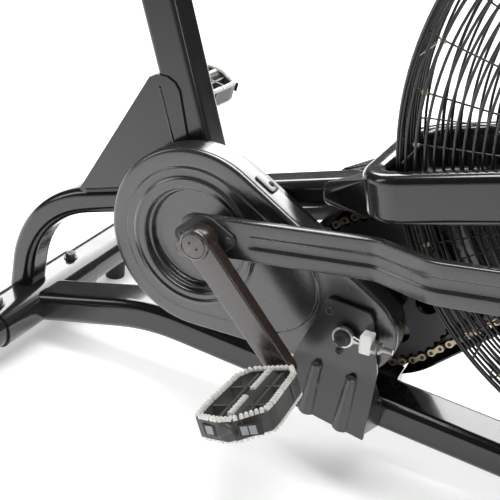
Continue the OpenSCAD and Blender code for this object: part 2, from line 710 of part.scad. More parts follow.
// Row of height holes in the front wall of the post
module seat_post() color("#b9b9bb") at_crank() difference() {
  union() {
    difference() {
      straight(post_foot, seat_at(saddle_z - 10), post_t, post_w, 5);
      straight(seat_at(120 + seat_rest), seat_at(saddle_z - 42), post_t - 5, post_w - 5, 3);
      translate([post_head[0] - 60, -30, saddle_z - 31]) cube([130, 60, 60]);
    }
    translate([post_head[0] - 60, -19, saddle_z - 36]) cube([130, 38, 6]);
  }
  for (i = [-7 : 3]) at_pin() translate([i * 25, 0, -14]) cylinder(r = 5.2, h = 24, center = true, $fn = 32);
}
module seat_slide() color("#1b1b1d") at_crank() translate([post_head[0], 0, saddle_z]) difference() {
  translate([-120, -22, -29.7]) cube([240, 44, 34]);
  translate([-117, -18, -26.7]) cube([234, 36, 28]);
  translate([20, 0, -12]) rotate([90, 0, 0]) cylinder(r = 5.05, h = 40, $fn = 32);
}
saddle_mid = [post_head[0] - 8, saddle_z + 36];
module saddle() color("#1a1a1b") at_crank() translate([saddle_mid[0], 0, saddle_mid[1]]) hull() {
  translate([-88, 62, 0]) scale([1, 1, 0.45]) sphere(r = 52, $fn = 28);
  translate([-88, -62, 0]) scale([1, 1, 0.45]) sphere(r = 52, $fn = 28);
  translate([118, 0, -2]) scale([1, 0.9, 0.75]) sphere(r = 26, $fn = 28);
  translate([0, 0, -4]) scale([1, 1, 0.36]) sphere(r = 62, $fn = 28);
}
// Spring pin pulled clear of the post; it pushes in along the boss on the seat tube
module seat_pin() color("#1e1e20") at_crank() at_pin() {
  translate([0, 0, -1.6]) cylinder(r = 5, h = 30, $fn = 48);
  translate([0, 0, 27]) cylinder(r = 15, h = 18, $fn = 48);
}
module seat_knob() color("#1e1e20") at_crank() translate([post_head[0] + 20, 0, saddle_z - 12]) {
  translate([0, -58, 0]) rotate([-90, 0, 0]) cylinder(r = 17, h = 20, $fn = 48);
  translate([0, -39, 0]) rotate([-90, 0, 0]) cylinder(r = 5, h = 20, $fn = 32);
  translate([0, -38, 0]) rotate([-90, 0, 0]) cylinder(r = 9, h = 15, $fn = 32);
}

// ---------- console ----------
console_at = [506, 812];
module in_console() translate([console_at[0], 0, console_at[1]]) rotate([0, 35, 0]) translate([-22, -85, -16]) children();
module console() color("#202124") at_crank() in_console() difference() {
  union() {
    translate([0, 0, 14]) cube([38, 170, 122]);
    translate([10, 60, 0]) cube([26, 50, 30]);
  }
  translate([-1, 15, 62]) cube([3, 140, 64]);
  for (i = [0 : 2]) translate([-1, 28 + i * 44, 26]) cube([9, 26, 14]);
}
module button(i) color("#c33a2c") at_crank() in_console() translate([-1.5, 28.3 + i * 44, 26.3]) cube([6.5, 25.4, 13.4]);
module button_reset() button(0);
module button_mode() button(1);
module button_start() button(2);

// ---------- transport wheels ----------
module wheel_disc() difference() {
  union() {
    pin(wheel_at, 27, -177, -154);
    pin(wheel_at, 12, -180.5, -150.5);
  }
  pin(wheel_at, 5.05, -182, -148);
}
module wheel_right() color("#2a2a2b") at_crank() wheel_disc();
module wheel_left() color("#2a2a2b") at_crank() mirror([0, 1, 0]) wheel_disc();

main_tube();
seat_tube();
seat_gusset();
base_beam();
crank_post();
rear_sleeve();
rear_stabiliser();
rubber_feet();
front_stabiliser();
end_caps();
fasteners();
fan_loop();
loop_cheeks();
front_mast();
lever_brackets();
bracket_right();
bracket_left();
cover_right();
cover_right_inner();
cover_left();
tensioner_block();
tensioner_bolt();
jackshaft_axle();
bottom_bracket();
chain_first();
chain_second();
cage_rim();
cage_right();
cage_left();
fan_axle();
crank_spindle();
chainring();
crank_arms();
crank_caps();
pedal_right();
pedal_left();
pedal_axles();
rod_right();
rod_left();
rod_bearing_right();
rod_bearing_left();
jackshaft_hub();
big_sprocket();
fan_hub();
fan_blades();
lever_right();
lever_left();
grip_right();
grip_left();
seat_post();
seat_slide();
saddle();
seat_pin();
seat_knob();
console();
button_reset();
button_mode();
button_start();
wheel_right();
wheel_left();
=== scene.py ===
"""Air bike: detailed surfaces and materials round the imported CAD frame.

Lengths below are millimetres measured from the crank axis (x forward, y to the
rider's left, z up), as in the CAD source; row() turns them into the row frame.
"""
import json
from math import acos, atan2, copysign, cos, dist, exp, hypot, pi, radians, sin, sqrt, tan

import bmesh
import bpy
from mathutils import Matrix, Vector


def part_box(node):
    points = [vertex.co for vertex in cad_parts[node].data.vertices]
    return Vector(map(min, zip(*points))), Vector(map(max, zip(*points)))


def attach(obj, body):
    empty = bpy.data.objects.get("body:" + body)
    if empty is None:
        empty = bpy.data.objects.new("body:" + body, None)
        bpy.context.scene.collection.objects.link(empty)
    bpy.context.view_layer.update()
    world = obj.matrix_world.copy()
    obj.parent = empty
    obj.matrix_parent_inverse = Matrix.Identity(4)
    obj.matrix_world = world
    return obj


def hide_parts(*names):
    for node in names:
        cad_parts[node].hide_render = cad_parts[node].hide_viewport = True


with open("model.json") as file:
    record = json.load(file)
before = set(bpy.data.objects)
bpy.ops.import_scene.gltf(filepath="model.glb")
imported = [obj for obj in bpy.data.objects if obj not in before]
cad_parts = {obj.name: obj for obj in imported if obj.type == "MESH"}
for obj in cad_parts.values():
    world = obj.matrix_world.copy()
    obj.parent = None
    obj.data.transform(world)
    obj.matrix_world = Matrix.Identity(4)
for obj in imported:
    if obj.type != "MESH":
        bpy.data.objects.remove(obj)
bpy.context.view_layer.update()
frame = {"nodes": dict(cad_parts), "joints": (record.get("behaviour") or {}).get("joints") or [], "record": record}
NODES = frame["nodes"]
JOINTS = {j["name"]: j for j in frame["joints"]}
CRANK = Vector(JOINTS["crank_spin"]["pos_m"])
MM = 0.001
TAU = 2 * pi


def row(p):
    """A point in millimetres from the crank axis, in the row frame in metres."""
    return (CRANK.x + p[0] * MM, p[1] * MM, CRANK.z + p[2] * MM)


def local(p):
    """A row-frame point in millimetres from the crank axis."""
    return ((p[0] - CRANK.x) / MM, p[1] / MM, (p[2] - CRANK.z) / MM)


# ---- camera
AZIMUTH = radians(26.5)
ELEVATION = radians(25)
LEAN = radians(4.5)
CAMERA_AT = (444.5, -889, 469.3)


def leaned(v):
    """The photographed bike leans in the picture; this turns a view axis with it."""
    x, y, z = v
    return Vector((x * cos(LEAN) - z * sin(LEAN), y, x * sin(LEAN) + z * cos(LEAN)))


def make_camera():
    data = bpy.data.cameras.new("camera")
    data.sensor_width = 36
    data.lens = 68.4
    data.clip_start = 0.02
    data.dof.use_dof = False
    cam = bpy.data.objects.new("camera", data)
    bpy.context.scene.collection.objects.link(cam)
    ca, sa = cos(AZIMUTH), sin(AZIMUTH)
    ce, se = cos(ELEVATION), sin(ELEVATION)
    back = Vector((sa * ce, -ca * ce, se))
    right = Vector((ca, sa, 0))
    up = back.cross(right)
    axes = [leaned(v) for v in (right, up, back)]
    m = Matrix.Identity(4)
    for i, axis in enumerate(axes):
        for k in range(3):
            m[k][i] = axis[k]
    m.translation = Vector(row(CAMERA_AT))
    cam.matrix_world = m
    bpy.context.scene.camera = cam


make_camera()


# ---- materials
def linear(hex_colour):
    """#rrggbb as linear values."""
    out = []
    for i in (1, 3, 5):
        c = int(hex_colour[i:i + 2], 16) / 255
        out.append(c / 12.92 if c <= 0.04045 else ((c + 0.055) / 1.055) ** 2.4)
    return out


def finish(name, colour, rough, metal=0.0, coat=0.0, mottle=0.12, grain=(900, 0.05), streak=0.0,
           wear=0.0, rough_var=0.06, specular=0.5, coat_rough=0.08):
    """A procedural finish: colour mottling, roughness patches, fine grain bump and worn edges."""
    mat = bpy.data.materials.new(name)
    mat.use_nodes = True
    nt = mat.node_tree
    nodes, links = nt.nodes, nt.links
    bsdf = nodes["Principled BSDF"]
    bsdf.inputs["Metallic"].default_value = metal
    bsdf.inputs["Specular IOR Level"].default_value = specular
    bsdf.inputs["Coat Weight"].default_value = coat
    bsdf.inputs["Coat Roughness"].default_value = coat_rough
    place = nodes.new("ShaderNodeTexCoord")
    base = linear(colour)

    def noise(scale, detail=3.0, stretch=None):
        tex = nodes.new("ShaderNodeTexNoise")
        tex.inputs["Scale"].default_value = scale
        tex.inputs["Detail"].default_value = detail
        source = place.outputs["Object"]
        if stretch:
            mapping = nodes.new("ShaderNodeMapping")
            mapping.inputs["Scale"].default_value = stretch
            links.new(source, mapping.inputs["Vector"])
            source = mapping.outputs["Vector"]
        links.new(source, tex.inputs["Vector"])
        return tex.outputs["Fac"]

    ramp = nodes.new("ShaderNodeValToRGB")
    ramp.color_ramp.elements[0].position = 0.3
    ramp.color_ramp.elements[1].position = 0.72
    ramp.color_ramp.elements[0].color = [c * (1 - mottle) for c in base] + [1]
    ramp.color_ramp.elements[1].color = [c * (1 + mottle) for c in base] + [1]
    links.new(noise(28 if not streak else 60, 4, (1, 1, 1) if not streak else (1, 12, 1)), ramp.inputs["Fac"])
    colour_out = ramp.outputs["Color"]
    if wear:
        edge = nodes.new("ShaderNodeNewGeometry")
        mask = nodes.new("ShaderNodeMapRange")
        mask.inputs["From Min"].default_value = 0.53
        mask.inputs["From Max"].default_value = 0.62
        mask.inputs["To Max"].default_value = wear
        links.new(edge.outputs["Pointiness"], mask.inputs["Value"])
        mix = nodes.new("ShaderNodeMix")
        mix.data_type = "RGBA"
        links.new(mask.outputs["Result"], mix.inputs["Factor"])
        links.new(colour_out, mix.inputs["A"])
        mix.inputs["B"].default_value = [min(1, c * 2.2 + 0.05) for c in base] + [1]
        colour_out = mix.outputs["Result"]
    links.new(colour_out, bsdf.inputs["Base Color"])
    spread = nodes.new("ShaderNodeMapRange")
    spread.inputs["To Min"].default_value = max(0.03, rough - rough_var)
    spread.inputs["To Max"].default_value = min(1, rough + rough_var)
    links.new(noise(45, 2), spread.inputs["Value"])
    links.new(spread.outputs["Result"], bsdf.inputs["Roughness"])
    bump = nodes.new("ShaderNodeBump")
    bump.inputs["Distance"].default_value = 0.0004
    bump.inputs["Strength"].default_value = grain[1]
    links.new(noise(grain[0], 2), bump.inputs["Height"])
    links.new(bump.outputs["Normal"], bsdf.inputs["Normal"])
    return mat


M = {
    "frame_black": finish("gloss_powder_coat", "#0b0a0a", 0.2, coat=0.6, specular=0.42, wear=0.2,
        grain=(420, 0.1)),
    "tube_black": finish("gloss_powder_coat_tube", "#0a0a0a", 0.2, coat=0.55, specular=0.42, wear=0.2,
        grain=(380, 0.1)),
    "shell_charcoal": finish("satin_cover_coat", "#242221", 0.26, coat=0.7, specular=0.8, wear=0.2,
        grain=(900, 0.1), coat_rough=0.2),
    "bracket_charcoal": finish("satin_bracket_coat", "#1f1e1e", 0.3, coat=0.4, specular=0.65, wear=0.4,
        grain=(800, 0.14), coat_rough=0.25),
    "rod_charcoal": finish("satin_rod_coat", "#211f1e", 0.27, coat=0.5, specular=0.72, wear=0.4,
        grain=(800, 0.12), coat_rough=0.22),
    "crank_metal": finish("bronzed_crank_coat", "#2a221e", 0.27, coat=0.75, specular=0.8, wear=0.4,
        grain=(700, 0.15), coat_rough=0.18),
    "zinc": finish("zinc_plate", "#b9b7b2", 0.3, metal=1, mottle=0.2, grain=(600, 0.2), wear=0.4),
    "post_steel": finish("chromed_post", "#c3c3c4", 0.16, metal=1, mottle=0.05, grain=(500, 0.05)),
    "shaft_steel": finish("turned_steel", "#9d9d9f", 0.28, metal=1, mottle=0.1, streak=1, grain=(900, 0.1)),
    "chain_gold": finish("brassed_chain", "#b5a58a", 0.34, metal=0.9, mottle=0.35, grain=(900, 0.3),
        wear=0.6),
    "sprocket_black": finish("black_oxide_steel", "#101010", 0.42, metal=0.3, wear=0.7, grain=(700, 0.2)),
    "blade_grey": finish("fan_blade_coat", "#2a2a2c", 0.35, metal=0.2, grain=(600, 0.1)),
    "wire_black": finish("gloss_wire_coat", "#0b0b0b", 0.3, coat=0.3, grain=(700, 0.1)),
    "cap_plastic": finish("satin_cap_plastic", "#1a1a1b", 0.45, grain=(1400, 0.3)),
    "pedal_plastic": finish("pedal_resin", "#2e2d2c", 0.42, wear=0.3, grain=(1500, 0.35)),
    "white_plastic": finish("white_nylon", "#f1f1ee", 0.4, mottle=0.04, grain=(1200, 0.15)),
    "foot_rubber": finish("foot_rubber", "#232323", 0.72, grain=(1600, 0.5)),
    "grip_rubber": finish("grip_rubber", "#1c1c1d", 0.78, grain=(2200, 0.6)),
    "seat_cover": finish("seat_vinyl", "#1b1b1c", 0.5, grain=(1300, 0.9), rough_var=0.08),
    "console_plastic": finish("console_plastic", "#1f2022", 0.42, grain=(1500, 0.35)),
    "button_plastic": finish("button_plastic", "#b4372a", 0.4, grain=(1500, 0.2)),
    "wheel_plastic": finish("wheel_plastic", "#2a2a2b", 0.5, grain=(1300, 0.3)),
}
TREAD = finish("tread_aluminium", "#d6d5d1", 0.42, metal=0.35, mottle=0.12, grain=(1200, 0.5))
REFLECTOR = finish("grey_reflector", "#7d8385", 0.25, mottle=0.1, grain=(1800, 0.6), coat=0.6)
BRASS_WELD = finish("brass_weld", "#a39a80", 0.4, metal=0.7, mottle=0.3, grain=(900, 0.3))
SCREEN = finish("screen_glass", "#75806f", 0.12, coat=0.8, mottle=0.05, grain=(300, 0.01))
BLACK_ZINC = finish("black_zinc", "#3a3a3a", 0.34, metal=0.7, wear=0.6, grain=(700, 0.2))
# Near-black finish: painted shade in pin holes, rib holes, pedal window recesses and screw cross recesses, and the
# real colour of the screen's digit segments.
SHADE_AND_DIGIT_DARK = finish("recess_shade_and_digit_dark", "#0c0c0c", 0.6, grain=(900, 0.2))

NODE_FINISH = {s["node"]: s["material_slot"] for s in frame["record"]["subparts"]}


# ---- mesh tools
class Shape:
    """Vertices and faces gathered from simple closed forms."""

    def __init__(self):
        self.verts = []
        self.faces = []
        self.marks = []

    def add(self, form, matrix=None, mark=0):
        verts, faces = form
        base = len(self.verts)
        if matrix is not None:
            verts = [matrix @ Vector(v) for v in verts]
        self.verts += [tuple(v) for v in verts]
        self.faces += [tuple(i + base for i in f) for f in faces]
        self.marks += [mark] * len(faces)
        return self


def mirrored(shape):
    """The same shape on the bike's other side."""
    out = Shape()
    out.add(([(x, -y, z) for x, y, z in shape.verts], shape.faces))
    out.marks = list(shape.marks)
    return out


def piece(name, shape, slot, body, cad=(), sharp=38, mats=(), look=None):
    """One Blender object of a shape, in the row frame, riding on a body; look replaces the slot's finish."""
    me = bpy.data.meshes.new(name)
    me.from_pydata([row(v) for v in shape.verts], [], shape.faces)
    for mat in [look or M[slot]] + list(mats):
        me.materials.append(mat)
    me.polygons.foreach_set("material_index", shape.marks)
    bm = bmesh.new()
    bm.from_mesh(me)
    bmesh.ops.recalc_face_normals(bm, faces=bm.faces)
    bm.to_mesh(me)
    bm.free()
    me.polygons.foreach_set("use_smooth", [True] * len(me.polygons))
    me.set_sharp_from_angle(angle=radians(sharp))
    obj = bpy.data.objects.new(name, me)
    bpy.context.scene.collection.objects.link(obj)
    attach(obj, body)
    if cad:
        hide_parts(*cad)
    return obj


def skin(loops, cap=True, around=False):
    """Quads between successive loops of points, closed with end caps or round on themselves."""
    n, m = len(loops[0]), len(loops)
    verts = [p for loop in loops for p in loop]
    faces = []
    for i in range(m if around else m - 1):
        j = (i + 1) % m
        for k in range(n):
            k2 = (k + 1) % n
            faces.append((i * n + k, i * n + k2, j * n + k2, j * n + k))
    if cap and not around:
        faces.append(tuple(reversed(range(n))))
        faces.append(tuple((m - 1) * n + k for k in range(n)))
    return verts, faces


def lathe(profile, at=(0, 0), sides=64, ring=False, turn=0.0):
    """A profile of (radius, y) turned about the y axis through at = (x, z)."""
    loops = []
    for r, y in profile:
        r = max(r, 0.02)
        loops.append([
            (at[0] + r * cos(TAU * k / sides + turn), y, at[1] + r * sin(TAU * k / sides + turn))
            for k in range(sides)
        ])
    return skin(loops, cap=not ring, around=ring)


def disc(r, y0, y1, at=(0, 0), sides=64):
    """Plain disc or pin along y."""
    return lathe([(0.02, y0), (r, y0), (r, y1), (0.02, y1)], at, sides)


def button_profile(r, y0, y1, edge):
    """Cylinder profile with rounded edges from y0 to y1."""
    s = copysign(1, y1 - y0)
    turns = [pi / 2 * i / 3 for i in range(4)]
    low = [(r - edge + edge * sin(a), y0 + s * edge * (1 - cos(a))) for a in turns]
    high = [(r - edge + edge * cos(a), y1 - s * edge * (1 - sin(a))) for a in turns]
    return [(0.02, y0)] + low + high + [(0.02, y1)]


def sweep(points, radius, sides=12, closed=False):
    """A round tube along points; radius is a number or a function of the place 0..1."""
    pts = [Vector(p) for p in points]
    n = len(pts)
    tangents = []
    for i in range(n):
        a = pts[i - 1] if (i > 0 or closed) else pts[i]
        b = pts[(i + 1) % n] if (i < n - 1 or closed) else pts[i]
        tangents.append((b - a).normalized())
    helper = Vector((0, 1, 0)) if abs(tangents[0].y) < 0.9 else Vector((1, 0, 0))
    normal = tangents[0].cross(helper).normalized()
    loops = []
    for i in range(n):
        t = tangents[i]
        normal = (normal - t * normal.dot(t)).normalized()
        side = t.cross(normal)
        r = radius(i / max(n - 1, 1)) if callable(radius) else radius
        loops.append([
            tuple(pts[i] + (normal * cos(TAU * k / sides) + side * sin(TAU * k / sides)) * r)
            for k in range(sides)
        ])
    return skin(loops, cap=not closed, around=closed)


def ccw(outline):
    area = sum(a[0] * b[1] - b[0] * a[1] for a, b in zip(outline, outline[1:] + outline[:1]))
    return outline if area > 0 else outline[::-1]


def inset(outline, d):
    """An anticlockwise outline moved inwards by d."""
    out = []
    n = len(outline)
    for i in range(n):
        a, b, c = outline[i - 1], outline[i], outline[(i + 1) % n]
        u = Vector((b[0] - a[0], b[1] - a[1])).normalized()
        v = Vector((c[0] - b[0], c[1] - b[1])).normalized()
        n1, n2 = Vector((-u.y, u.x)), Vector((-v.y, v.x))
        s = (n1 + n2) / max(1 + n1.dot(n2), 0.4)
        out.append((b[0] + s.x * d, b[1] + s.y * d))
    return out


def slab(outline, y0, y1, edge=1.5, steps=3):
    """A side-view outline made solid from y0 to y1 with rounded edges."""
    outline = ccw(outline)
    turns = [pi / 2 * i / steps for i in range(steps + 1)]

    def ring(y, rise, shrink):
        return [(p[0], y + rise, p[1]) for p in inset(outline, shrink)]

    loops = [ring(y0, edge * (1 - cos(t)), edge * (1 - sin(t))) for t in turns]
    loops += [ring(y1, -edge * (1 - sin(t)), edge * (1 - cos(t))) for t in turns]
    return skin(loops)


def corners(points, radius, steps=6):
    """A polygon with its corners rounded; radius is a number or one for each corner."""
    out = []
    n = len(points)
    for i in range(n):
        r = radius[i] if isinstance(radius, (list, tuple)) else radius
        a, b, c = (Vector(points[i - 1]), Vector(points[i]), Vector(points[(i + 1) % n]))
        u, v = (a - b).normalized(), (c - b).normalized()
        half = acos(max(-1, min(1, u.dot(v)))) / 2
        if r <= 0 or half > pi / 2 - 0.02:
            out.append(tuple(b))
            continue
        d = min(r / tan(half), (a - b).length * 0.49, (c - b).length * 0.49)
        start, end = b + u * d, b + v * d
        for k in range(steps + 1):
            t = k / steps
            out.append(tuple((1 - t) ** 2 * start + 2 * t * (1 - t) * b + t ** 2 * end))
    return out


def belt(p, rp, q, rq, n=24):
    """Outline round two circles, anticlockwise."""
    d = Vector(q) - Vector(p)
    base = atan2(d.y, d.x)
    spread = acos(max(-1, min(1, (rp - rq) / d.length)))
    out = []
    for k in range(n + 1):
        a = base + spread + (TAU - 2 * spread) * k / n
        out.append((p[0] + rp * cos(a), p[1] + rp * sin(a)))
    for k in range(n + 1):
        a = base - spread + 2 * spread * k / n
        out.append((q[0] + rq * cos(a), q[1] + rq * sin(a)))
    return out


def rotation_to(direction):
    """Matrix that turns +y to a direction."""
    return Vector((0, 1, 0)).rotation_difference(Vector(direction)).to_matrix().to_4x4()


def placed(at, direction=(0, 1, 0)):
    return Matrix.Translation(Vector(at)) @ rotation_to(direction)


def block(x0, x1, y0, y1, z0, z1):
    """A plain box, used as a rib or a fin of a larger shape."""
    return skin([[(x0, y, z0), (x1, y, z0), (x1, y, z1), (x0, y, z1)] for y in (y0, y1)])


def standing(x, y=0.0, z=0.0):
    """Matrix that turns a side-view outline to face along x, at a place."""
    return Matrix(((0, 1, 0, x), (1, 0, 0, y), (0, 0, 1, z), (0, 0, 0, 1)))


def hex_bolt(across, height, edge=0.8):
    """Hexagon head along +y from 0 to height, with a chamfered washer face."""
    r = across / sqrt(3)
    return skin([
        [(s * cos(TAU * k / 6), y, s * sin(TAU * k / 6)) for k in range(6)]
        for s, y in [(r, 0), (r, height - edge), (r - edge * 1.4, height)]
    ])


def pan_screw(r, height):
    """Domed screw head with a cross recess, along +y from 0."""
    shape = Shape()
    dome = [(r, 0), (r, height * 0.3)] + [
        (r * cos(a), height * (0.3 + 0.7 * sin(a))) for a in (0.35, 0.7, 1.0, 1.3)
    ]
    dome = [(0.02, 0)] + dome + [(0.02, height)]
    shape.add(lathe(dome, sides=28))
    w = r * 0.17
    # The cross recess is two bars on the second material slot; where that slot gets the near-black finish, the dark
    # is painted shade.
    for turn in (0.4, 0.4 + pi / 2):
        bar = block(-r * 0.55, r * 0.55, height * 0.55, height * 1.03, -w, w)
        shape.add(bar, Matrix.Rotation(turn, 4, "Y"), mark=1)
    return shape


def put(shape, part, matrix=Matrix.Identity(4), mark=None):
    """Adds a Shape to another one."""
    base = len(shape.verts)
    shape.verts += [tuple(matrix @ Vector(v)) for v in part.verts]
    shape.faces += [tuple(i + base for i in f) for f in part.faces]
    shape.marks += part.marks if mark is None else [mark] * len(part.faces)


# ---- shared layout
JACK = (190, -50)
FAN = (518, 190)
THROW = 45.5
REACH = 165
JOURNAL = tuple(THROW * f(radians(42)) for f in (cos, sin))
PEDAL = tuple(REACH * f(radians(-31.4)) for f in (cos, sin))
PIVOT = (505, 275)
PIN_RIGHT = (499.35, 95.09)
PIN_LEFT = (410.94, 121.53)


def opposite(p):
    return (-p[0], -p[1])


# ---- right cover
def cover_outline_radius(angle, rp, q, rq):
    """Distance from the origin to a belt outline round (0, 0) and q, along an angle."""
    d = hypot(*q)
    base = atan2(q[1], q[0])
    spread = acos((rp - rq) / d)
    a = (angle - base + pi) % TAU - pi
    if abs(a) >= spread:
        return rp
    # the straight side: distance rp to the line whose normal is at the spread angle
    line = rp / cos(spread - abs(a))
    end = Vector((d, 0)) + rq * Vector((cos(spread), sin(spread)))
    if abs(a) >= atan2(end.y, end.x):
        return line
    # the far arc
    c = cos(a) * d
    return c + sqrt(max(rq * rq - (sin(a) * d) ** 2, 0))


def smooth(t):
    t = max(0.0, min(1.0, t))
    return t * t * (3 - 2 * t)


def make_cover_right():
    face_y, wall_y = -66.0, -39.0
    count = 288
    angles = [TAU * k / count for k in range(count)]
    dish = [
        (12.5, 14.4), (14, 15), (22, 15.2), (30, 15), (44, 15), (52, 15), (55, 14.7), (56.4, 13.8), (57, 12.4),
        (57.3, 9.5), (57.6, 7.4), (58.1, 6.6), (58.8, 6.3), (59.9, 6.2), (60.5, 5.8), (60.9, 4.6), (61.3, 1.6),
        (61.9, 0.0), (62.6, -0.9), (63.6, -1.4), (65, -1.7), (66.5, -1.7), (68, -1.6), (69.6, -1.7), (70.6, -2.5),
        (71.5, -3.3), (72.4, -3.6), (73.3, -3.3), (74.4, -2.3), (75.6, -1.4), (76.6, -1.15), (78, -1.1),
    ]
    outline = [(cover_outline_radius(a, 107, JACK, 52), a) for a in angles]
    outer = [(r * cos(a), r * sin(a)) for r, a in outline]
    emboss = [cover_outline_radius(a, 86, (93, -23), 58.5) for a in angles]

    def spread(radii, y):
        """Closed loop at one radius for each angle."""
        return [(r * cos(a), y, r * sin(a)) for r, a in zip(radii, angles)]

    def circle(r, y):
        return spread([r] * count, y)

    loops = [circle(r, face_y + depth) for r, depth in dish]
    edge, dish_rim, skin_thick = 5.5, 78, 1.8
    rim = inset(outer, edge)
    for k in (0.25, 0.5, 0.75, 0.9):
        loops.append(spread([dish_rim + (e - 2.6 - dish_rim) * k for e in emboss], face_y - 1.1))
    for off, lift in [(-2.4, -1.15), (-1.6, -1.3), (-1.0, -1.2), (-0.3, -0.6), (0.4, 0.25), (1.1, 0.5),
                      (2.0, 0.15), (3.0, 0)]:
        loops.append(spread([e + off for e in emboss], face_y + lift))
    for k in (0.25, 0.5, 0.75):
        loops.append([((e + 3) * cos(a) * (1 - k) + p[0] * k, face_y, (e + 3) * sin(a) * (1 - k) + p[1] * k)
                      for e, a, p in zip(emboss, angles, rim)])
    for i in range(7):
        t = pi / 2 * i / 6
        ring = inset(outer, edge * (1 - sin(t)))
        loops.append([(p[0], face_y + edge * (1 - cos(t)), p[1]) for p in ring])
    for y in (-52, -44, -40.2, wall_y):
        loops.append([(p[0], y, p[1]) for p in outer])
    inner = inset(outer, skin_thick)
    loops.append([(p[0], wall_y, p[1]) for p in inner])
    for y in (-44, -58, -62.5):
        loops.append([(p[0], y, p[1]) for p in inner])
    back = inset(outer, 6)
    loops.append([(p[0], -63.8, p[1]) for p in back])
    loops += [circle(r, y) for r, y in ((64, -63.6), (63, -62), (60, -49.4), (12.5, -49.4))]
    shape = Shape().add(skin(loops, around=True))
    # screw tab on the upper wall
    base = atan2(JACK[1], JACK[0])
    lean = base + acos((107 - 52) / hypot(*JACK))
    normal = Vector((cos(lean), 0, sin(lean)))
    along = Vector((sin(lean), 0, -cos(lean)))
    at = normal * 107 + along * 21
    plate = slab(corners([(-13, -8), (13, -8), (13, 8), (-13, 8)], 4), 0, 2.2, 0.7)
    frame_axes = Matrix((
        (along.x, normal.x, 0, at.x), (along.y, normal.y, 1, -46), (along.z, normal.z, 0, at.z), (0, 0, 0, 1),
    ))
    shape.add(plate, frame_axes)
    piece("cover_right_shell", shape, "shell_charcoal", "frame", ["cover_right"], sharp=50)
    return frame_axes


COVER_TAB = make_cover_right()


# ---- fan cage
def hoop(r, y, wire, sides=8, count=150):
    return sweep([(FAN[0] + r * cos(TAU * k / count), y, FAN[1] + r * sin(TAU * k / count))
                  for k in range(count)], wire, sides, closed=True)


CAGE_BACK, CAGE_FACE = 24.0, -66.0
FACE_RING = 289.0
SPOKES = 36
FAR_SPOKES = 12
RINGS = 24
RING_PITCH = 9.0
WIRE = 1.5


def cage_profile(face, inwards):
    """(radius, y) stations of a cage side from its hub to the rim, inwards = +1 or -1 along y."""
    if inwards < 0:
        return [(62, face), (298, face), (307, face - 0.8), (311.5, face - 4), (313, face - 9),
                (313, face - 20)]
    return [(62, face), (FACE_RING, face), (299, face + inwards * 2.2), (306.5, face + inwards * 8),
            (310.5, face + inwards * 17), (312, face + inwards * 28)]


def make_cage():
    for name, face, inwards in (("cage_right", CAGE_FACE, 1), ("cage_left", CAGE_BACK, -1)):
        shape = Shape()
        for i in range(RINGS):
            shape.add(hoop(FACE_RING - RING_PITCH * (i + 1), face, WIRE))
        shape.add(hoop(FACE_RING, face, 1.8))
        for r, y in cage_profile(face, inwards)[2:4]:
            shape.add(hoop(r, y, WIRE))
        shape.add(hoop(68, face, 2.2))
        spokes = SPOKES if inwards > 0 else FAR_SPOKES
        for i in range(spokes):
            a = TAU * i / spokes + radians(4.7)
            ca, sa = cos(a), sin(a)
            points = [(FAN[0] + r * ca, y + inwards * 2.4, FAN[1] + r * sa)
                      for r, y in cage_profile(face, inwards)]
            points[0] = (FAN[0] + 60 * ca, points[0][1], FAN[1] + 60 * sa)
            shape.add(sweep(points, 0.95, 6))
            if inwards < 0:
                continue
            dot = [(FAN[0] + (FACE_RING + d) * ca, face + inwards * 0.9, FAN[1] + (FACE_RING + d) * sa)
                   for d in (-3.4, -2.2, 0, 2.2, 3.4)]
            shape.add(sweep(dot, lambda t: 0.7 + 1.9 * sin(pi * t), 8), mark=1)
        dish = [(17, face - 3.5), (30, face - 3.5), (34, face - 1.8), (62, face - 1.6), (64.5, face - 1),
                (65, face), (64.5, face + 1), (62, face + 1.6), (17, face + 1.6)]
        shape.add(lathe(dish, FAN, 96, ring=True))
        piece(name + "_wires", shape, "wire_black", "frame", [name], sharp=60, mats=[BRASS_WELD])
    rim = Shape()
    for i in range(10):
        rim.add(hoop(312.5 if i else 309.5, CAGE_FACE + 9 + i * 8.6, WIRE))
    for i in range(0, SPOKES, 2):
        a = TAU * i / SPOKES + radians(9.8)
        ca, sa = cos(a), sin(a)
        rim.add(sweep([(FAN[0] + 308.4 * ca, y, FAN[1] + 308.4 * sa) for y in (-52, -30, -8, 10)], 1.3, 6))
    piece("cage_rim_hoops", rim, "wire_black", "frame", ["cage_rim"], sharp=60)


make_cage()


# ---- push rods
def rod_section(s_groove):
    """Rod cross-section as (outward, up), outward from the inner face, with a pressed groove."""
    h, t, e = 22.0, 11.0, 2.2
    g = 2.4 * s_groove
    pts = []
    for k in range(5):
        a = pi / 2 * k / 4
        pts.append((t - e + e * sin(a), -h + e * (1 - cos(a))))
    pts += [(t, -14), (t, -8.2), (t - g * 0.12, -7.0), (t - g * 0.85, -5.4), (t - g, -4.2), (t - g, 4.6),
            (t - g * 0.85, 5.8), (t - g * 0.12, 7.4), (t, 8.6), (t, 14)]
    for k in range(5):
        a = pi / 2 * k / 4
        pts.append((t - e + e * cos(a), h - e + e * sin(a)))
    pts += [(e, h), (0.6, h - 0.7), (0, h - e), (0, -h + e), (0.6, -h + 0.7), (e, -h)]
    return pts


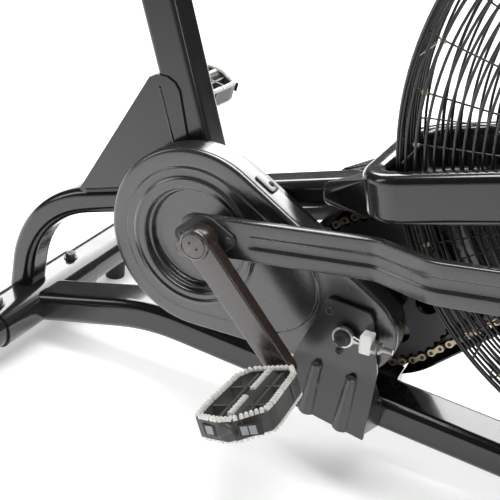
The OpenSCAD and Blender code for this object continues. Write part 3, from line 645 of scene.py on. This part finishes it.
def make_rod(side, start, end, name):
    """side is 1 on the right, -1 on the left; the strip steps outward before its front pin."""
    direction = atan2(end[1] - start[1], end[0] - start[0])
    length = hypot(end[0] - start[0], end[1] - start[1])
    inner, step = 91.5, 30.0
    bend_start, bend_end = 186.0, 250.0
    slope = atan2(step, bend_end - bend_start)

    def offset(s):
        soft = 9.0
        t = max(0.0, min(1.0, (s - bend_start) / (bend_end - bend_start)))
        y = step * t
        for edge, sign in ((bend_start, 1), (bend_end, -1)):
            d = abs(s - edge)
            if d < soft:
                y += sign * tan(slope) * (soft - d) ** 2 / (4 * soft)
        return inner + y

    stations = [24, 34, 44, 48, 52, 56, 62, 80, 110, 140, 165, 177, 180, 183, 186, 189, 192, 195, 210, 226,
                241, 244, 247, 250, 253, 256, 259, 280, 320, 360, 400, 430, 444, 450, 456, length - 12]
    loops = []
    for s in stations:
        groove = smooth((s - 46) / 12) * smooth((452 - s) / 10)
        tilt = atan2(offset(s + 0.5) - offset(s - 0.5), 1.0)
        loop = []
        for out, up in rod_section(groove):
            u = s - out * sin(tilt)
            y = -(offset(s) + out * cos(tilt))
            loop.append((u, y, up))
        loops.append(loop)
    shape = Shape().add(skin(loops))
    # rear plate round the bearing, slim enough to pass behind the crank arm
    plate = corners([(-36, -21), (30, -22), (30, 22), (-30, 22)], [17, 1, 1, 20], 10)
    shape.add(slab(plate, -102.3, -91.5, 1.8))
    nose = belt((length - 20, 0), 22, (length, 0), 22, 20)
    shape.add(slab(nose, -(inner + step + 11), -(inner + step), 2))
    place = Matrix.Translation((start[0], 0, start[1])) @ Matrix.Rotation(-direction, 4, "Y")
    world = Shape()
    put(world, shape, place)
    flange = Shape()
    flange.add(slab(bearing_outline(), -105.6, -101.8, 1.4))
    for s in (-1, 1):
        head = pan_screw(4.0, 2.2)
        put(flange, head, Matrix.Translation((s * 27, -105.2, 0)) @ Matrix.Rotation(pi, 4, "X"), mark=1)
        washer = lathe([(0.02, -105.9), (5.0, -105.9), (5.3, -105.6), (5.3, -104.8), (0.02, -104.8)],
                       (s * 27, 0), 32)
        flange.add(washer, mark=1)
    flange.add(lathe([(10.1, -106.6), (15.5, -106.6), (16.5, -105.8), (16.5, -104), (10.1, -104)], ring=True))
    flange.add(lathe([(10.1, -104), (20, -104), (20, -90), (10.1, -90)], ring=True))
    front = -(inner + step)
    flange.add(lathe(button_profile(8.6, front - 14, front - 8, 1.2), (length, 0), 40), mark=1)
    flange.add(hex_bolt(17, 6), placed((length, front - 12, 0), (0, -1, 0)), mark=1)
    bearing = Shape()
    put(bearing, flange, place)
    if side < 0:
        world, bearing = mirrored(world), mirrored(bearing)
    piece("push_rod_" + name, world, "rod_charcoal", "rod_" + name, ["rod_" + name], sharp=40)
    piece("rod_flange_" + name, bearing, "cap_plastic", "rod_" + name, ["rod_bearing_" + name],
          mats=[BLACK_ZINC])


def bearing_outline():
    """Two-bolt flange outline: a round middle with a lug at each end."""
    out = []
    for c, r, a0, a1 in ((0, 24.5, 48, 132), (-27, 9, 110, 250), (0, 24.5, 228, 312), (27, 9, -70, 70)):
        for k in range(13):
            a = radians(a0 + (a1 - a0) * k / 12)
            out.append((c + r * cos(a), r * sin(a)))
    return out


make_rod(1, JOURNAL, PIN_RIGHT, "right")
make_rod(-1, opposite(JOURNAL), PIN_LEFT, "left")


# ---- crank
def crank_half(flip):
    """One side of the crank; flip makes the left one half a turn round."""
    j = JOURNAL
    arms, caps, axles = Shape(), Shape(), Shape()
    arms.add(slab(belt((0, 0), 11.5, j, 11.8), -86, -72, 2))
    arms.add(lathe(button_profile(10, -112, -80, 1), j, 48))
    arms.add(lathe(button_profile(17, -128.2, -108, 2.2), j, 72))
    arms.add(slab(belt(j, 15.6, PEDAL, 13.6), -126, -109, 2.4, 4))
    arms.add(lathe([(14, -129.2), (15.2, -129), (16.2, -128), (16.4, -126), (14, -126)], j, 72, ring=True))
    caps.add(lathe(button_profile(13.4, -129.6, -126, 0.9), j, 64))
    # Two pin holes in each cap, drawn as near-black discs: painted shade.
    for d in (-5, 5):
        spot = (j[0] + d * 0.86, j[1] - d * 0.5)
        caps.add(disc(1.35, -129.9, -128, spot, 20), mark=1)
    axles.add(lathe([(0.02, -131), (6, -131), (9, -131), (9.5, -130.4), (9.5, -126.4), (6, -126),
                     (0.02, -126)], PEDAL, 6))
    axles.add(lathe(button_profile(6, -236, -108, 0.6), PEDAL, 32))
    if flip:
        turn = Matrix.Rotation(pi, 4, "Y")
        out = []
        for s in (arms, caps, axles):
            t = Shape()
            put(t, mirrored(s), turn)
            out.append(t)
        return out
    return [arms, caps, axles]


def make_crank():
    right, left = crank_half(False), crank_half(True)
    specs = (
        ("crank_arm_pair", "crank_metal", "crank_arms", []),
        ("crank_cap_pair", "crank_metal", "crank_caps", [SHADE_AND_DIGIT_DARK]),
        ("pedal_axle_pair", "shaft_steel", "pedal_axles", []),
    )
    for (name, slot, cad, mats), a, b in zip(specs, right, left):
        both = Shape()
        put(both, a)
        put(both, b)
        piece(name, both, slot, "crank", [cad], mats=mats)


make_crank()


# ---- pedals
RIB = 1.6


def pedal_shape():
    """Cage pedal in its own frame: x fore and aft, y outward negative, z up."""
    ring = [(-38, -234), (-8, -242), (8, -241), (37, -222), (38, -208), (35, -152), (25, -137), (-24, -137),
            (-36, -150), (-40, -212)]
    shape = Shape()
    outer = ccw(corners(ring, 3, 3))
    inner = inset(outer, 5.0)
    lip = inset(outer, 1.2)
    lip_in = inset(outer, 3.8)
    wall = []
    for line, z in ((lip, -11), (outer, -9.8), (outer, 9.8), (lip, 11), (lip_in, 11), (inner, 9.8),
                    (inner, -9.8), (lip_in, -11)):
        wall.append([(p[0], p[1], z) for p in line])
    shape.add(skin(wall, around=True))
    # ribs across and along the body
    for x in (-14, 14):
        shape.add(block(x - RIB, x + RIB, -238, -138, -8, 8))
    for y in (-206, -170):
        shape.add(block(-37, 37, y - RIB, y + RIB, -8, 8))
    shape.add(lathe([(6.1, -243.4), (6.1, -134), (9.5, -134), (10.5, -135), (10.5, -150), (11.2, -156), (11.2, -225),
                     (10, -232), (10, -243.4)], sides=48, ring=True))
    shape.add(lathe([(0.02, -246), (8.2, -246), (9.4, -245.3), (9.8, -244), (9.8, -236), (0.02, -236)], sides=56))
    # recessed end windows with reflectors; the near-black back panel of each window is painted shade
    def window(x0, x1, half, depths):
        """Panel that follows the bevelled pedal end between x0 and x1."""
        y0, y1 = (-241.3 + (abs(x) - 11) * 0.19 for x in (x0, x1))
        return skin([[(x0, y0 + d, -half), (x1, y1 + d, -half), (x1, y1 + d, half), (x0, y0 + d, half)]
                     for d in depths])

    for x0, x1, lit in ((-29, -13, ((-26, -17),)), (12.5, 35, ((14.5, 21.5), (23, 30)))):
        shape.add(window(x0, x1, 6, (0.0, 1.5)), mark=3)
        for a, b in lit:
            shape.add(window(a, b, 4.6, (-0.35, 1.0)), mark=2)
    # serrated treads along the rim and the middle, top and bottom
    path = []
    n = len(outer)
    mid = inset(outer, 2.5)
    for i in range(n):
        a, b = Vector(mid[i]), Vector(mid[(i + 1) % n])
        steps = max(1, int((b - a).length / 1.2))
        path += [a.lerp(b, k / steps) for k in range(steps)]
    total, last = 0.0, path[0]
    spots = []
    pitch = 5.2
    for i in range(1, len(path) + 1):
        p = path[i % len(path)]
        total += (p - last).length
        if total >= pitch:
            spots.append((p, (p - last).normalized()))
            total -= pitch
        last = p
    middle = [(Vector((0, y)), Vector((0, 1))) for y in [*range(-228, -196, 5), *range(-180, -144, 5)]]
    for (p, t) in spots + middle:
        u = Vector((-t.y, t.x))
        for s in (-1, 1):
            loops = []
            for w, z in ((1.0, 10.2), (1.0, 12.0), (0.5, 13.8)):
                long, wide = 2.05 * w, 2.9 * (0.6 + 0.4 * w)
                spread = [p + t * (a * long) + u * (b * wide)
                          for a, b in ((-1, -1), (1, -1), (1, 1), (-1, 1))]
                loops.append([(q.x, q.y, s * z) for q in spread])
            shape.add(skin(loops), mark=1)
    for s in (-1, 1):
        shape.add(block(-2.4, 2.4, -231, -143, s * 7.8, s * 10.4), mark=1)
    return shape


def make_pedals():
    mats = [TREAD, REFLECTOR, SHADE_AND_DIGIT_DARK]
    for name, at, tilt, flip in (("right", PEDAL, -22, False), ("left", opposite(PEDAL), 12, True)):
        body = pedal_shape()
        if flip:
            body = mirrored(body)
        world = Shape()
        put(world, body, Matrix.Translation((at[0], 0, at[1])) @ Matrix.Rotation(radians(tilt), 4, "Y"))
        piece("pedal_cage_" + name, world, "pedal_plastic", "pedal_" + name, ["pedal_" + name],
              mats=mats, sharp=30)


make_pedals()


# ---- chains
def chain_points(p, rp, q, rq, pitch=12.7):
    line = belt(p, rp, q, rq, 120)
    line.append(line[0])
    total = sum(dist(a, b) for a, b in zip(line, line[1:]))
    count = 2 * round(total / pitch / 2)
    step = total / count
    out, walked, target = [], 0.0, 0.0
    for a, b in zip(line, line[1:]):
        d = dist(a, b)
        while target <= walked + d and len(out) < count:
            t = (target - walked) / d if d else 0
            out.append((a[0] + (b[0] - a[0]) * t, a[1] + (b[1] - a[1]) * t))
            target += step
        walked += d
    return out


def link_outline(a, b, r, waist):
    """Figure-eight outline of a chain side plate."""
    d = Vector(b) - Vector(a)
    u = d.normalized()
    v = Vector((-u.y, u.x))
    pts = []
    for centre, flip in ((Vector(b), 1), (Vector(a), -1)):
        for k in range(9):
            t = radians(-115 + 230 * k / 8)
            pts.append(centre + (u * cos(t) + v * sin(t)) * r * flip)
        pts.append(Vector(a) + d / 2 + v * waist * flip)
    return [tuple(p) for p in pts]


def make_chain(name, cad, y, p, rp, q, rq, body):
    pts = chain_points(p, rp, q, rq)
    shape = Shape()
    n = len(pts)
    for i in range(n):
        a, b = pts[i], pts[(i + 1) % n]
        outline = link_outline(a, b, 4.5, 2.7)
        near, far = ((3.1, 4.1) if i % 2 else (1.9, 2.9))
        for y0, y1 in ((y - far, y - near), (y + near, y + far)):
            shape.add(slab(outline, y0, y1, 0.28, 1), mark=0 if i % 2 else 1)
        for yy, r, m in ((4.6, 2.4, 1), (3.0, 3.9, 0)):
            shape.add(disc(r, y - yy, y + yy, a, 12), mark=m)
    piece(name, shape, "chain_gold", body, [cad], sharp=30, mats=[M["sprocket_black"]])


def pitch_radius(teeth):
    return 12.7 / (2 * sin(pi / teeth))


make_chain("chain_crank", "chain_first", -45, (0, 0), pitch_radius(44), JACK, pitch_radius(15), "frame")
make_chain("chain_fan", "chain_second", 38, JACK, pitch_radius(45), FAN, pitch_radius(15), "frame")


# ---- right bracket
def make_bracket():
    left = [(167, -16), (162, -20), (159, -31), (135, -92), (133, -118), (135, -131), (147, -150)]
    right = [(212, -19), (216, -24), (219, -38), (229, -84), (229.5, -110), (229.5, -140), (229, -162)]

    def polyline(points, t):
        lengths = [dist(a, b) for a, b in zip(points, points[1:])]
        goal = t * sum(lengths)
        for (a, b), d in zip(zip(points, points[1:]), lengths):
            if goal <= d or b == points[-1]:
                k = min(goal / d, 1)
                return Vector(a).lerp(Vector(b), k)
            goal -= d

    rows, columns = 110, 84
    lean_out = tan(radians(13))
    ribs = ((163, -95), (204, -98))
    loops = []
    for i in range(rows + 1):
        a, b = polyline(left, i / rows), polyline(right, i / rows)
        line = []
        for k in range(columns + 1):
            p = a.lerp(b, k / columns)
            drop = max(0.0, -90 - p.y + 5)
            y = -74 - lean_out * (drop - 5 + 5 * exp(-drop / 5))
            for x, top in ribs:
                down = top - p.y
                if down > 0:
                    half = 6.2 + down * 0.035
                    across = (p.x - x + down * 0.05) / half
                    if abs(across) < 1:
                        y -= 5.6 * smooth(down / 1.8) * sqrt(1 - across * across) * (1 - 0.25 * abs(across))
            line.append((p.x, y, p.y))
        loops.append(line)
    n = columns + 1
    verts = [p for line in loops for p in line]
    faces = [(i * n + k, i * n + k + 1, (i + 1) * n + k + 1, (i + 1) * n + k)
             for i in range(rows) for k in range(columns)]
    front = len(verts)
    verts += [(p[0], p[1] + 3.2, p[2]) for p in verts]
    faces += [tuple(front + j for j in reversed(f)) for f in faces]
    border = list(range(n)) + [i * n + columns for i in range(1, rows + 1)]
    border += [rows * n + k for k in range(columns - 1, -1, -1)] + [i * n for i in range(rows - 1, 0, -1)]
    for a, b in zip(border, border[1:] + border[:1]):
        faces.append((a, b, b + front, a + front))
    shape = Shape().add((verts, faces))
    # folded flanges back to the base beam
    for x, points in ((224, [(-72, -96), (-87, -158), (-28, -184), (-28, -152)]),
                      (150, [(-72, -96), (-84, -146), (-28, -172), (-28, -134)])):
        flange = slab(points, 0, 4, 0.8)
        shape.add(flange, standing(x))
    # a near-black disc at the top of each rib stands for its hole: painted shade
    for x, z in ribs:
        shape.add(lathe(button_profile(4.6, -79.6, -74.4, 0.6), (x, z - 0.5), 24), mark=1)
    piece("bracket_right_plate", shape, "bracket_charcoal", "frame", ["bracket_right"],
          sharp=32, mats=[SHADE_AND_DIGIT_DARK])


make_bracket()


# ---- tensioner
def thread(x0, x1, y, z, r, pitch=1.25):
    """Threaded rod along x: rings of crest and root."""
    loops = []
    steps = int((x1 - x0) / pitch * 2)
    for i in range(steps + 1):
        rr = r if i % 2 else r - 0.55
        x = x0 + (x1 - x0) * i / steps
        loops.append([(x, y + rr * cos(TAU * k / 20), z + rr * sin(TAU * k / 20)) for k in range(20)])
    return skin(loops)


def make_tensioner():
    bolt = Shape()
    bolt.add(lathe([(6.3, -84.5), (11, -84.5), (12, -83.6), (12, -79.4), (11, -78.6), (6.3, -78.6)],
                   JACK, 48, ring=True))
    turns = [TAU * k / 20 for k in range(20)]
    bolt.add(skin([[(x, -81.6 + h * cos(a), JACK[1] + w * sin(a)) for a in turns]
                   for x, h, w in ((199, 2.8, 6.4), (203, 2.8, 4.2), (207, 3, 3.1), (209, 3, 3.0))]))
    bolt.add(thread(208, 244, -82, JACK[1], 3.1))
    for x, size, w in ((222.3, 13, 6), (229.4, 11, 3.2)):
        bolt.add(hex_bolt(size, w), placed((x, -82, JACK[1]), (1, 0, 0)))
    piece("tensioner_eye_bolt", bolt, "zinc", "frame", ["tensioner_bolt"])
    block = Shape()
    turned = standing(210, -81.5, JACK[1] + 1)
    block.add(slab(corners([(-7.5, -10), (7.5, -10), (7.5, 12), (-7.5, 12)], 2.4), 0, 12, 1.2), turned)
    block.add(slab(corners([(-5, -7), (5, -7), (5, 9), (-5, 9)], 1.6), -1.2, 0.6, 0.5), turned)
    piece("tensioner_end_block", block, "white_plastic", "frame", ["tensioner_block"])
    axle = Shape()
    axle.add(hex_bolt(15, 5.2), placed((JACK[0], -84.6, JACK[1]), (0, -1, 0)))
    axle.add(lathe([(6.2, -83.8), (9.2, -83.8), (9.6, -84.1), (9.6, -84.9), (9.2, -85.2), (6.2, -85.2)],
                   JACK, 40, ring=True))
    axle.add(lathe([(0.02, -90.5), (4.6, -90.5), (5.6, -90), (6, -89), (6, -70), (0.02, -70)], JACK, 32))
    axle.add(lathe(button_profile(6, -71, 66, 0.8), JACK, 32))
    axle.add(hex_bolt(18, 7.6), placed((JACK[0], 52.2, JACK[1])))
    for y in ((-69.5, -60.5), (43, 47.9)):
        axle.add(lathe([(6, y[0]), (9, y[0]), (9, y[1]), (6, y[1])], JACK, 32, ring=True))
    piece("jackshaft_axle_nuts", axle, "sprocket_black", "frame", ["jackshaft_axle"])


make_tensioner()


# ---- fasteners
def make_fasteners():
    shape = Shape()
    for s in (-1, 1):
        at = (-272, s * 78, -163)
        washer = lathe([(0.02, 0), (9.2, 0), (9.4, 0.4), (9.4, 1.5), (0.02, 1.8)], sides=40)
        shape.add(washer, placed(at, (0, 0, 1)))
        shape.add(hex_bolt(13, 7), placed((at[0], at[1], at[2] + 1.6), (0, 0, 1)))
        shape.add(lathe(button_profile(3.4, 6, 9.2, 0.5), sides=20), placed(at, (0, 0, 1)))
    # the pan screws' cross recesses take the near-black finish: painted shade
    for x, z in ((169.5, -29), (185, -73)):
        put(shape, pan_screw(4.2, 2.4), placed((x, -74, z), (0, -1, 0)))
        shape.add(disc(5.2, -74.6, -73.8, (x, z), 32))
    put(shape, pan_screw(4.2, 2.2), placed((226, -30.5, -5), (0, -1, 0)))
    put(shape, pan_screw(4.2, 1.8), COVER_TAB @ Matrix.Translation((4, 1.4, 2.5)))
    low, high = (local(v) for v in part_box("wheel_right"))
    wheel = ((low[0] + high[0]) / 2, (low[2] + high[2]) / 2)
    for s in (-1, 1):
        axle = Shape()
        axle.add(lathe(button_profile(4.9, -185, -146, 0.5), wheel, 28))
        axle.add(hex_bolt(13, 4), placed((wheel[0], -185, wheel[1]), (0, -1, 0)))
        put(shape, axle if s < 0 else mirrored(axle))
    piece("bolts_and_screws", shape, "zinc", "frame", ["fasteners"], mats=[SHADE_AND_DIGIT_DARK], look=BLACK_ZINC)


make_fasteners()


# ---- welds
def bead(points, r=2.6, spacing=3.2, sides=10):
    """A stacked-dime weld bead along a polyline."""
    dense = []
    for a, b in zip(points, points[1:]):
        a, b = Vector(a), Vector(b)
        n = max(2, int((b - a).length / 0.8))
        dense += [a.lerp(b, k / n) for k in range(n)]
    dense.append(Vector(points[-1]))
    total = len(dense) * 0.8

    def radius(t):
        end = min(1.0, 6 * t * total / 20, 6 * (1 - t) * total / 20)
        return (r * (0.84 + 0.2 * abs(sin(pi * t * total / spacing)))) * max(0.25, min(1, end))

    return sweep(dense, radius, sides)


def make_welds():
    shape = Shape()
    lean = (-sin(radians(18.5)), cos(radians(18.5)))

    def seat(h, off, y):
        x = -2 + h * lean[0] / lean[1]
        return (x + off * lean[1], y, h - off * lean[0])

    for y in (-21.4, 21.4):
        shape.add(bead([seat(160, -21, y), seat(110, -21, y), seat(60, -21, y)], 2.2))
    shape.add(bead([seat(164, -22.4, -19), seat(164, -22.4, 19)], 2.4))
    # foot of the seat tube and the gusset on the main tube
    for s in (-1, 1):
        shape.add(bead([(-176, s * 21.8, 1.0), (-120, s * 21.8, 17.3), (-58, s * 21.8, 35.3)], 2.5))
        shape.add(bead([(-44, s * 21.4, 39.4), (-20, s * 21.4, 46.4), (8, s * 21.4, 54.5)], 2.4))
    shape.add(bead([(-182, -19, 0.6), (-183.2, 0, 0.3), (-182, 19, 0.6)], 2.4))
    shape.add(bead([(9, -18, 55.6), (9.6, 0, 55.8), (9, 18, 55.6)], 2.4))
    piece("weld_beads", shape, "frame_black", "frame", sharp=60)


make_welds()


# ---- saddle and grips
SADDLE_X = (-339.0, -58.5)


def saddle_half_width(t):
    rear = sqrt(max(0.0, 1 - max(0.0, (0.22 - t) / 0.22) ** 2.4))
    taper = 112 + (25 - 112) * smooth((t - 0.24) / 0.5)
    nose = sqrt(max(0.0, 1 - max(0.0, (t - 0.9) / 0.1) ** 2.2))
    return max(taper * rear * nose, 0.6)


def make_saddle():
    """A wide padded saddle: waisted, with a raised rear, a pressure groove and a piped seam."""
    count, stations = 64, 60
    loops, seam = [], {1: [], -1: []}
    for i in range(stations + 1):
        t = 0.5 - 0.5 * cos(pi * i / stations)
        x = SADDLE_X[0] + (SADDLE_X[1] - SADDLE_X[0]) * t
        w = saddle_half_width(t)
        full = min(1.0, w / 22)
        top = 634 + full * (23.5 - 7.5 * sin(pi * min(1, t / 0.9)) ** 2)
        low = 634 - full * (21 - 8 * smooth((t - 0.3) / 0.6))
        loop = []
        for k in range(count):
            a = TAU * k / count
            c, b = cos(a), sin(a)
            y = w * copysign(abs(c) ** 0.72, c)
            z = 634 + ((top - 634) if b > 0 else (634 - low)) * copysign(abs(b) ** 0.8, b)
            if b > 0:
                groove = exp(-(y / 11) ** 2) * smooth((t - 0.12) / 0.2) * smooth((0.9 - t) / 0.25)
                z -= 4.5 * groove * full
            loop.append((x, y, z))
        loops.append(loop)
        if 2 <= i <= stations - 2:
            for side in (1, -1):
                seam[side].append((x, side * (w - 0.4), 631))
    pad = Shape().add(skin(loops))
    obj = piece("saddle_pad", pad, "seat_cover", "saddle", ["saddle"], sharp=70)
    piping = Shape().add(sweep(seam[1] + seam[-1][::-1], 1.7, 10, closed=True))
    piece("saddle_piping", piping, "seat_cover", "saddle", sharp=70)


def make_grips():
    """Moulded grips with finger rings and end collars along the bent top of each lever."""
    start, bend, end = Vector((-191, -114.1, 602.5)), Vector((-222, -116, 669)), Vector((-238, -117, 740))
    line = [start + (bend - start) * k / 14 for k in range(14)]
    line += [bend + (end - bend) * k / 16 for k in range(17)]
    for _ in range(6):
        line = [line[0]] + [(a + b * 2 + c) / 4 for a, b, c in zip(line, line[1:], line[2:])] + [line[-1]]
    dense = []
    for a, b in zip(line, line[1:]):
        dense += [a.lerp(b, k / 6) for k in range(6)]
    dense.append(line[-1])

    def radius(t):
        if t < 0.012 or t > 0.99:
            return 15.6
        if t < 0.06 or t > 0.945:
            return 18.6
        ring = abs(sin(pi * t * 19)) ** 0.45
        return 15.9 + 1.3 * ring + 0.5 * sin(pi * t)

    for side, pin in ((1, PIN_RIGHT), (-1, PIN_LEFT)):
        name = "right" if side > 0 else "left"
        lean = atan2(PIVOT[1] - pin[1], PIVOT[0] - pin[0]) - pi / 2
        place = Matrix.Translation((PIVOT[0], -124, PIVOT[1])) @ Matrix.Rotation(-lean, 4, "Y")
        shape = Shape()
        shape.add(sweep(dense, radius, 36), place)
        if side < 0:
            shape = mirrored(shape)
        piece("hand_grip_" + name, shape, "grip_rubber", "lever_" + name, ["grip_" + name], sharp=50)


make_saddle()
make_grips()


# ---- console face
def make_console():
    place = (Matrix.Translation((506, 0, 812)) @ Matrix.Rotation(radians(35), 4, "Y")
             @ Matrix.Translation((-22, -85, -16)))
    upright = Matrix(((0, -1, 0, 0), (1, 0, 0, 0), (0, 0, 1, 0), (0, 0, 0, 1)))

    def panel(y0, y1, z0, z1, x0, x1, radius, edge):
        outline = corners([(y0, z0), (y1, z0), (y1, z1), (y0, z1)], radius)
        return slab(outline, -x1, -x0, edge)

    bezel = Shape()
    outer = ccw(corners([(9, 56), (161, 56), (161, 132), (9, 132)], 8))
    inner = ccw(corners([(16, 63), (154, 63), (154, 125), (16, 125)], 5))
    bezel.add(skin([[(p[0], y, p[1]) for p in ring] for ring, y in
                    ((outer, 0.0), (outer, 2.2), (inset(outer, 1.2), 3.2), (inset(inner, -1.2), 3.2), (inner, 2.2),
                     (inner, 0.0))], around=True), place @ upright)
    piece("console_bezel", bezel, "console_plastic", "frame", sharp=35)
    glass = Shape().add(panel(15.4, 154.6, 62.4, 125.6, -1.4, 1.6, 5, 0.4), place @ upright)
    for line, (z, height) in enumerate(((106, 13), (86, 13), (68, 10))):
        for i in range(4):
            y = 26 + i * 32
            for a, b, c, d in ((0, 22, 0, 1.2), (0, 22, height, height + 1.2), (0, 1.2, 0, height + 1.2),
                               (20.8, 22, 0, height + 1.2)):
                glass.add(panel(y + a, y + b, z + c, z + d, -1.7, -1.2, 0.3, 0.08), place @ upright, mark=1)
    piece("console_screen", glass, "console_plastic", "frame", sharp=30, mats=[SHADE_AND_DIGIT_DARK], look=SCREEN)


make_console()


# ---- turned plastic parts
def make_wheels():
    low, high = (local(v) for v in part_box("wheel_right"))
    at = ((low[0] + high[0]) / 2, (low[2] + high[2]) / 2)
    profile = [(5.2, -180.4), (10, -180.4), (11, -179.4), (12, -176), (19, -176), (20.5, -179), (23.5, -180),
               (26, -178.4), (27, -176), (27, -155), (26, -152.6), (23.5, -151), (20.5, -152), (19, -155), (12, -155),
               (11, -151.6), (10, -150.6), (5.2, -150.6)]
    for side in (1, -1):
        name = "right" if side > 0 else "left"
        shape = Shape().add(lathe(profile, at, 72, ring=True))
        for k in range(6):
            a = TAU * k / 6
            ca, sa = cos(a), sin(a)
            points = [(at[0] + r * ca, -165.5, at[1] + r * sa) for r in (11, 20)]
            shape.add(sweep(points, 2.6, 8))
        if side < 0:
            shape = mirrored(shape)
        piece("transport_wheel_" + name, shape, "wheel_plastic", "wheel_" + name, ["wheel_" + name], sharp=35)


make_wheels()


# ---- carried-over CAD nodes
def repaint():
    for name, obj in NODES.items():
        if obj.hide_render:
            continue
        mat = M[NODE_FINISH[name]]
        if not obj.data.materials:
            obj.data.materials.append(mat)
        for i in range(len(obj.material_slots)):
            obj.material_slots[i].material = mat


repaint()


# ---- stage
def make_stage():
    me = bpy.data.meshes.new("floor")
    size = 14
    me.from_pydata([(-size, -size, 0), (size, -size, 0), (size, size, 0), (-size, size, 0)], [], [(0, 1, 2, 3)])
    mat = bpy.data.materials.new("studio_floor")
    mat.use_nodes = True
    bsdf = mat.node_tree.nodes["Principled BSDF"]
    bsdf.inputs["Base Color"].default_value = (0.93, 0.93, 0.93, 1)
    bsdf.inputs["Roughness"].default_value = 0.9
    bsdf.inputs["Specular IOR Level"].default_value = 0.1
    bsdf.inputs["Emission Color"].default_value = (1, 1, 1, 1)
    bsdf.inputs["Emission Strength"].default_value = 0.26
    me.materials.append(mat)
    floor = bpy.data.objects.new("floor", me)
    bpy.context.scene.collection.objects.link(floor)


def area_light(name, at, look, size, power):
    data = bpy.data.lights.new(name, "AREA")
    data.shape = "RECTANGLE"
    data.size, data.size_y = size
    data.energy = power
    obj = bpy.data.objects.new(name, data)
    bpy.context.scene.collection.objects.link(obj)
    obj.location = Vector(at)
    obj.rotation_euler = (Vector(look) - Vector(at)).to_track_quat("-Z", "Y").to_euler()


def make_lights():
    world = bpy.data.worlds.new("studio")
    world.use_nodes = True
    nt = world.node_tree
    nt.nodes["Background"].inputs["Color"].default_value = (1, 1, 1, 1)
    ray = nt.nodes.new("ShaderNodeLightPath")
    level = nt.nodes.new("ShaderNodeMapRange")
    level.inputs["To Min"].default_value = 0.1
    level.inputs["To Max"].default_value = 1.0
    nt.links.new(ray.outputs["Is Camera Ray"], level.inputs["Value"])
    nt.links.new(level.outputs["Result"], nt.nodes["Background"].inputs["Strength"])
    bpy.context.scene.world = world
    area_light("softbox_top", (-0.1, -0.2, 2.1), (-0.05, 0.0, 0.0), (1.9, 0.9), 64)
    area_light("softbox_rear", (-1.6, 4.4, 3.2), (-1.4, 3.6, 0.0), (6.0, 3.2), 430)
    area_light("softbox_side", (-2.6, -1.0, 1.2), (-0.2, 0, 0.3), (0.6, 1.4), 9)
    area_light("softbox_front", (2.3, -1.0, 1.5), (0.1, 0, 0.3), (0.5, 1.3), 8)
    scene = bpy.context.scene
    scene.view_settings.view_transform = "Standard"


make_stage()
make_lights()
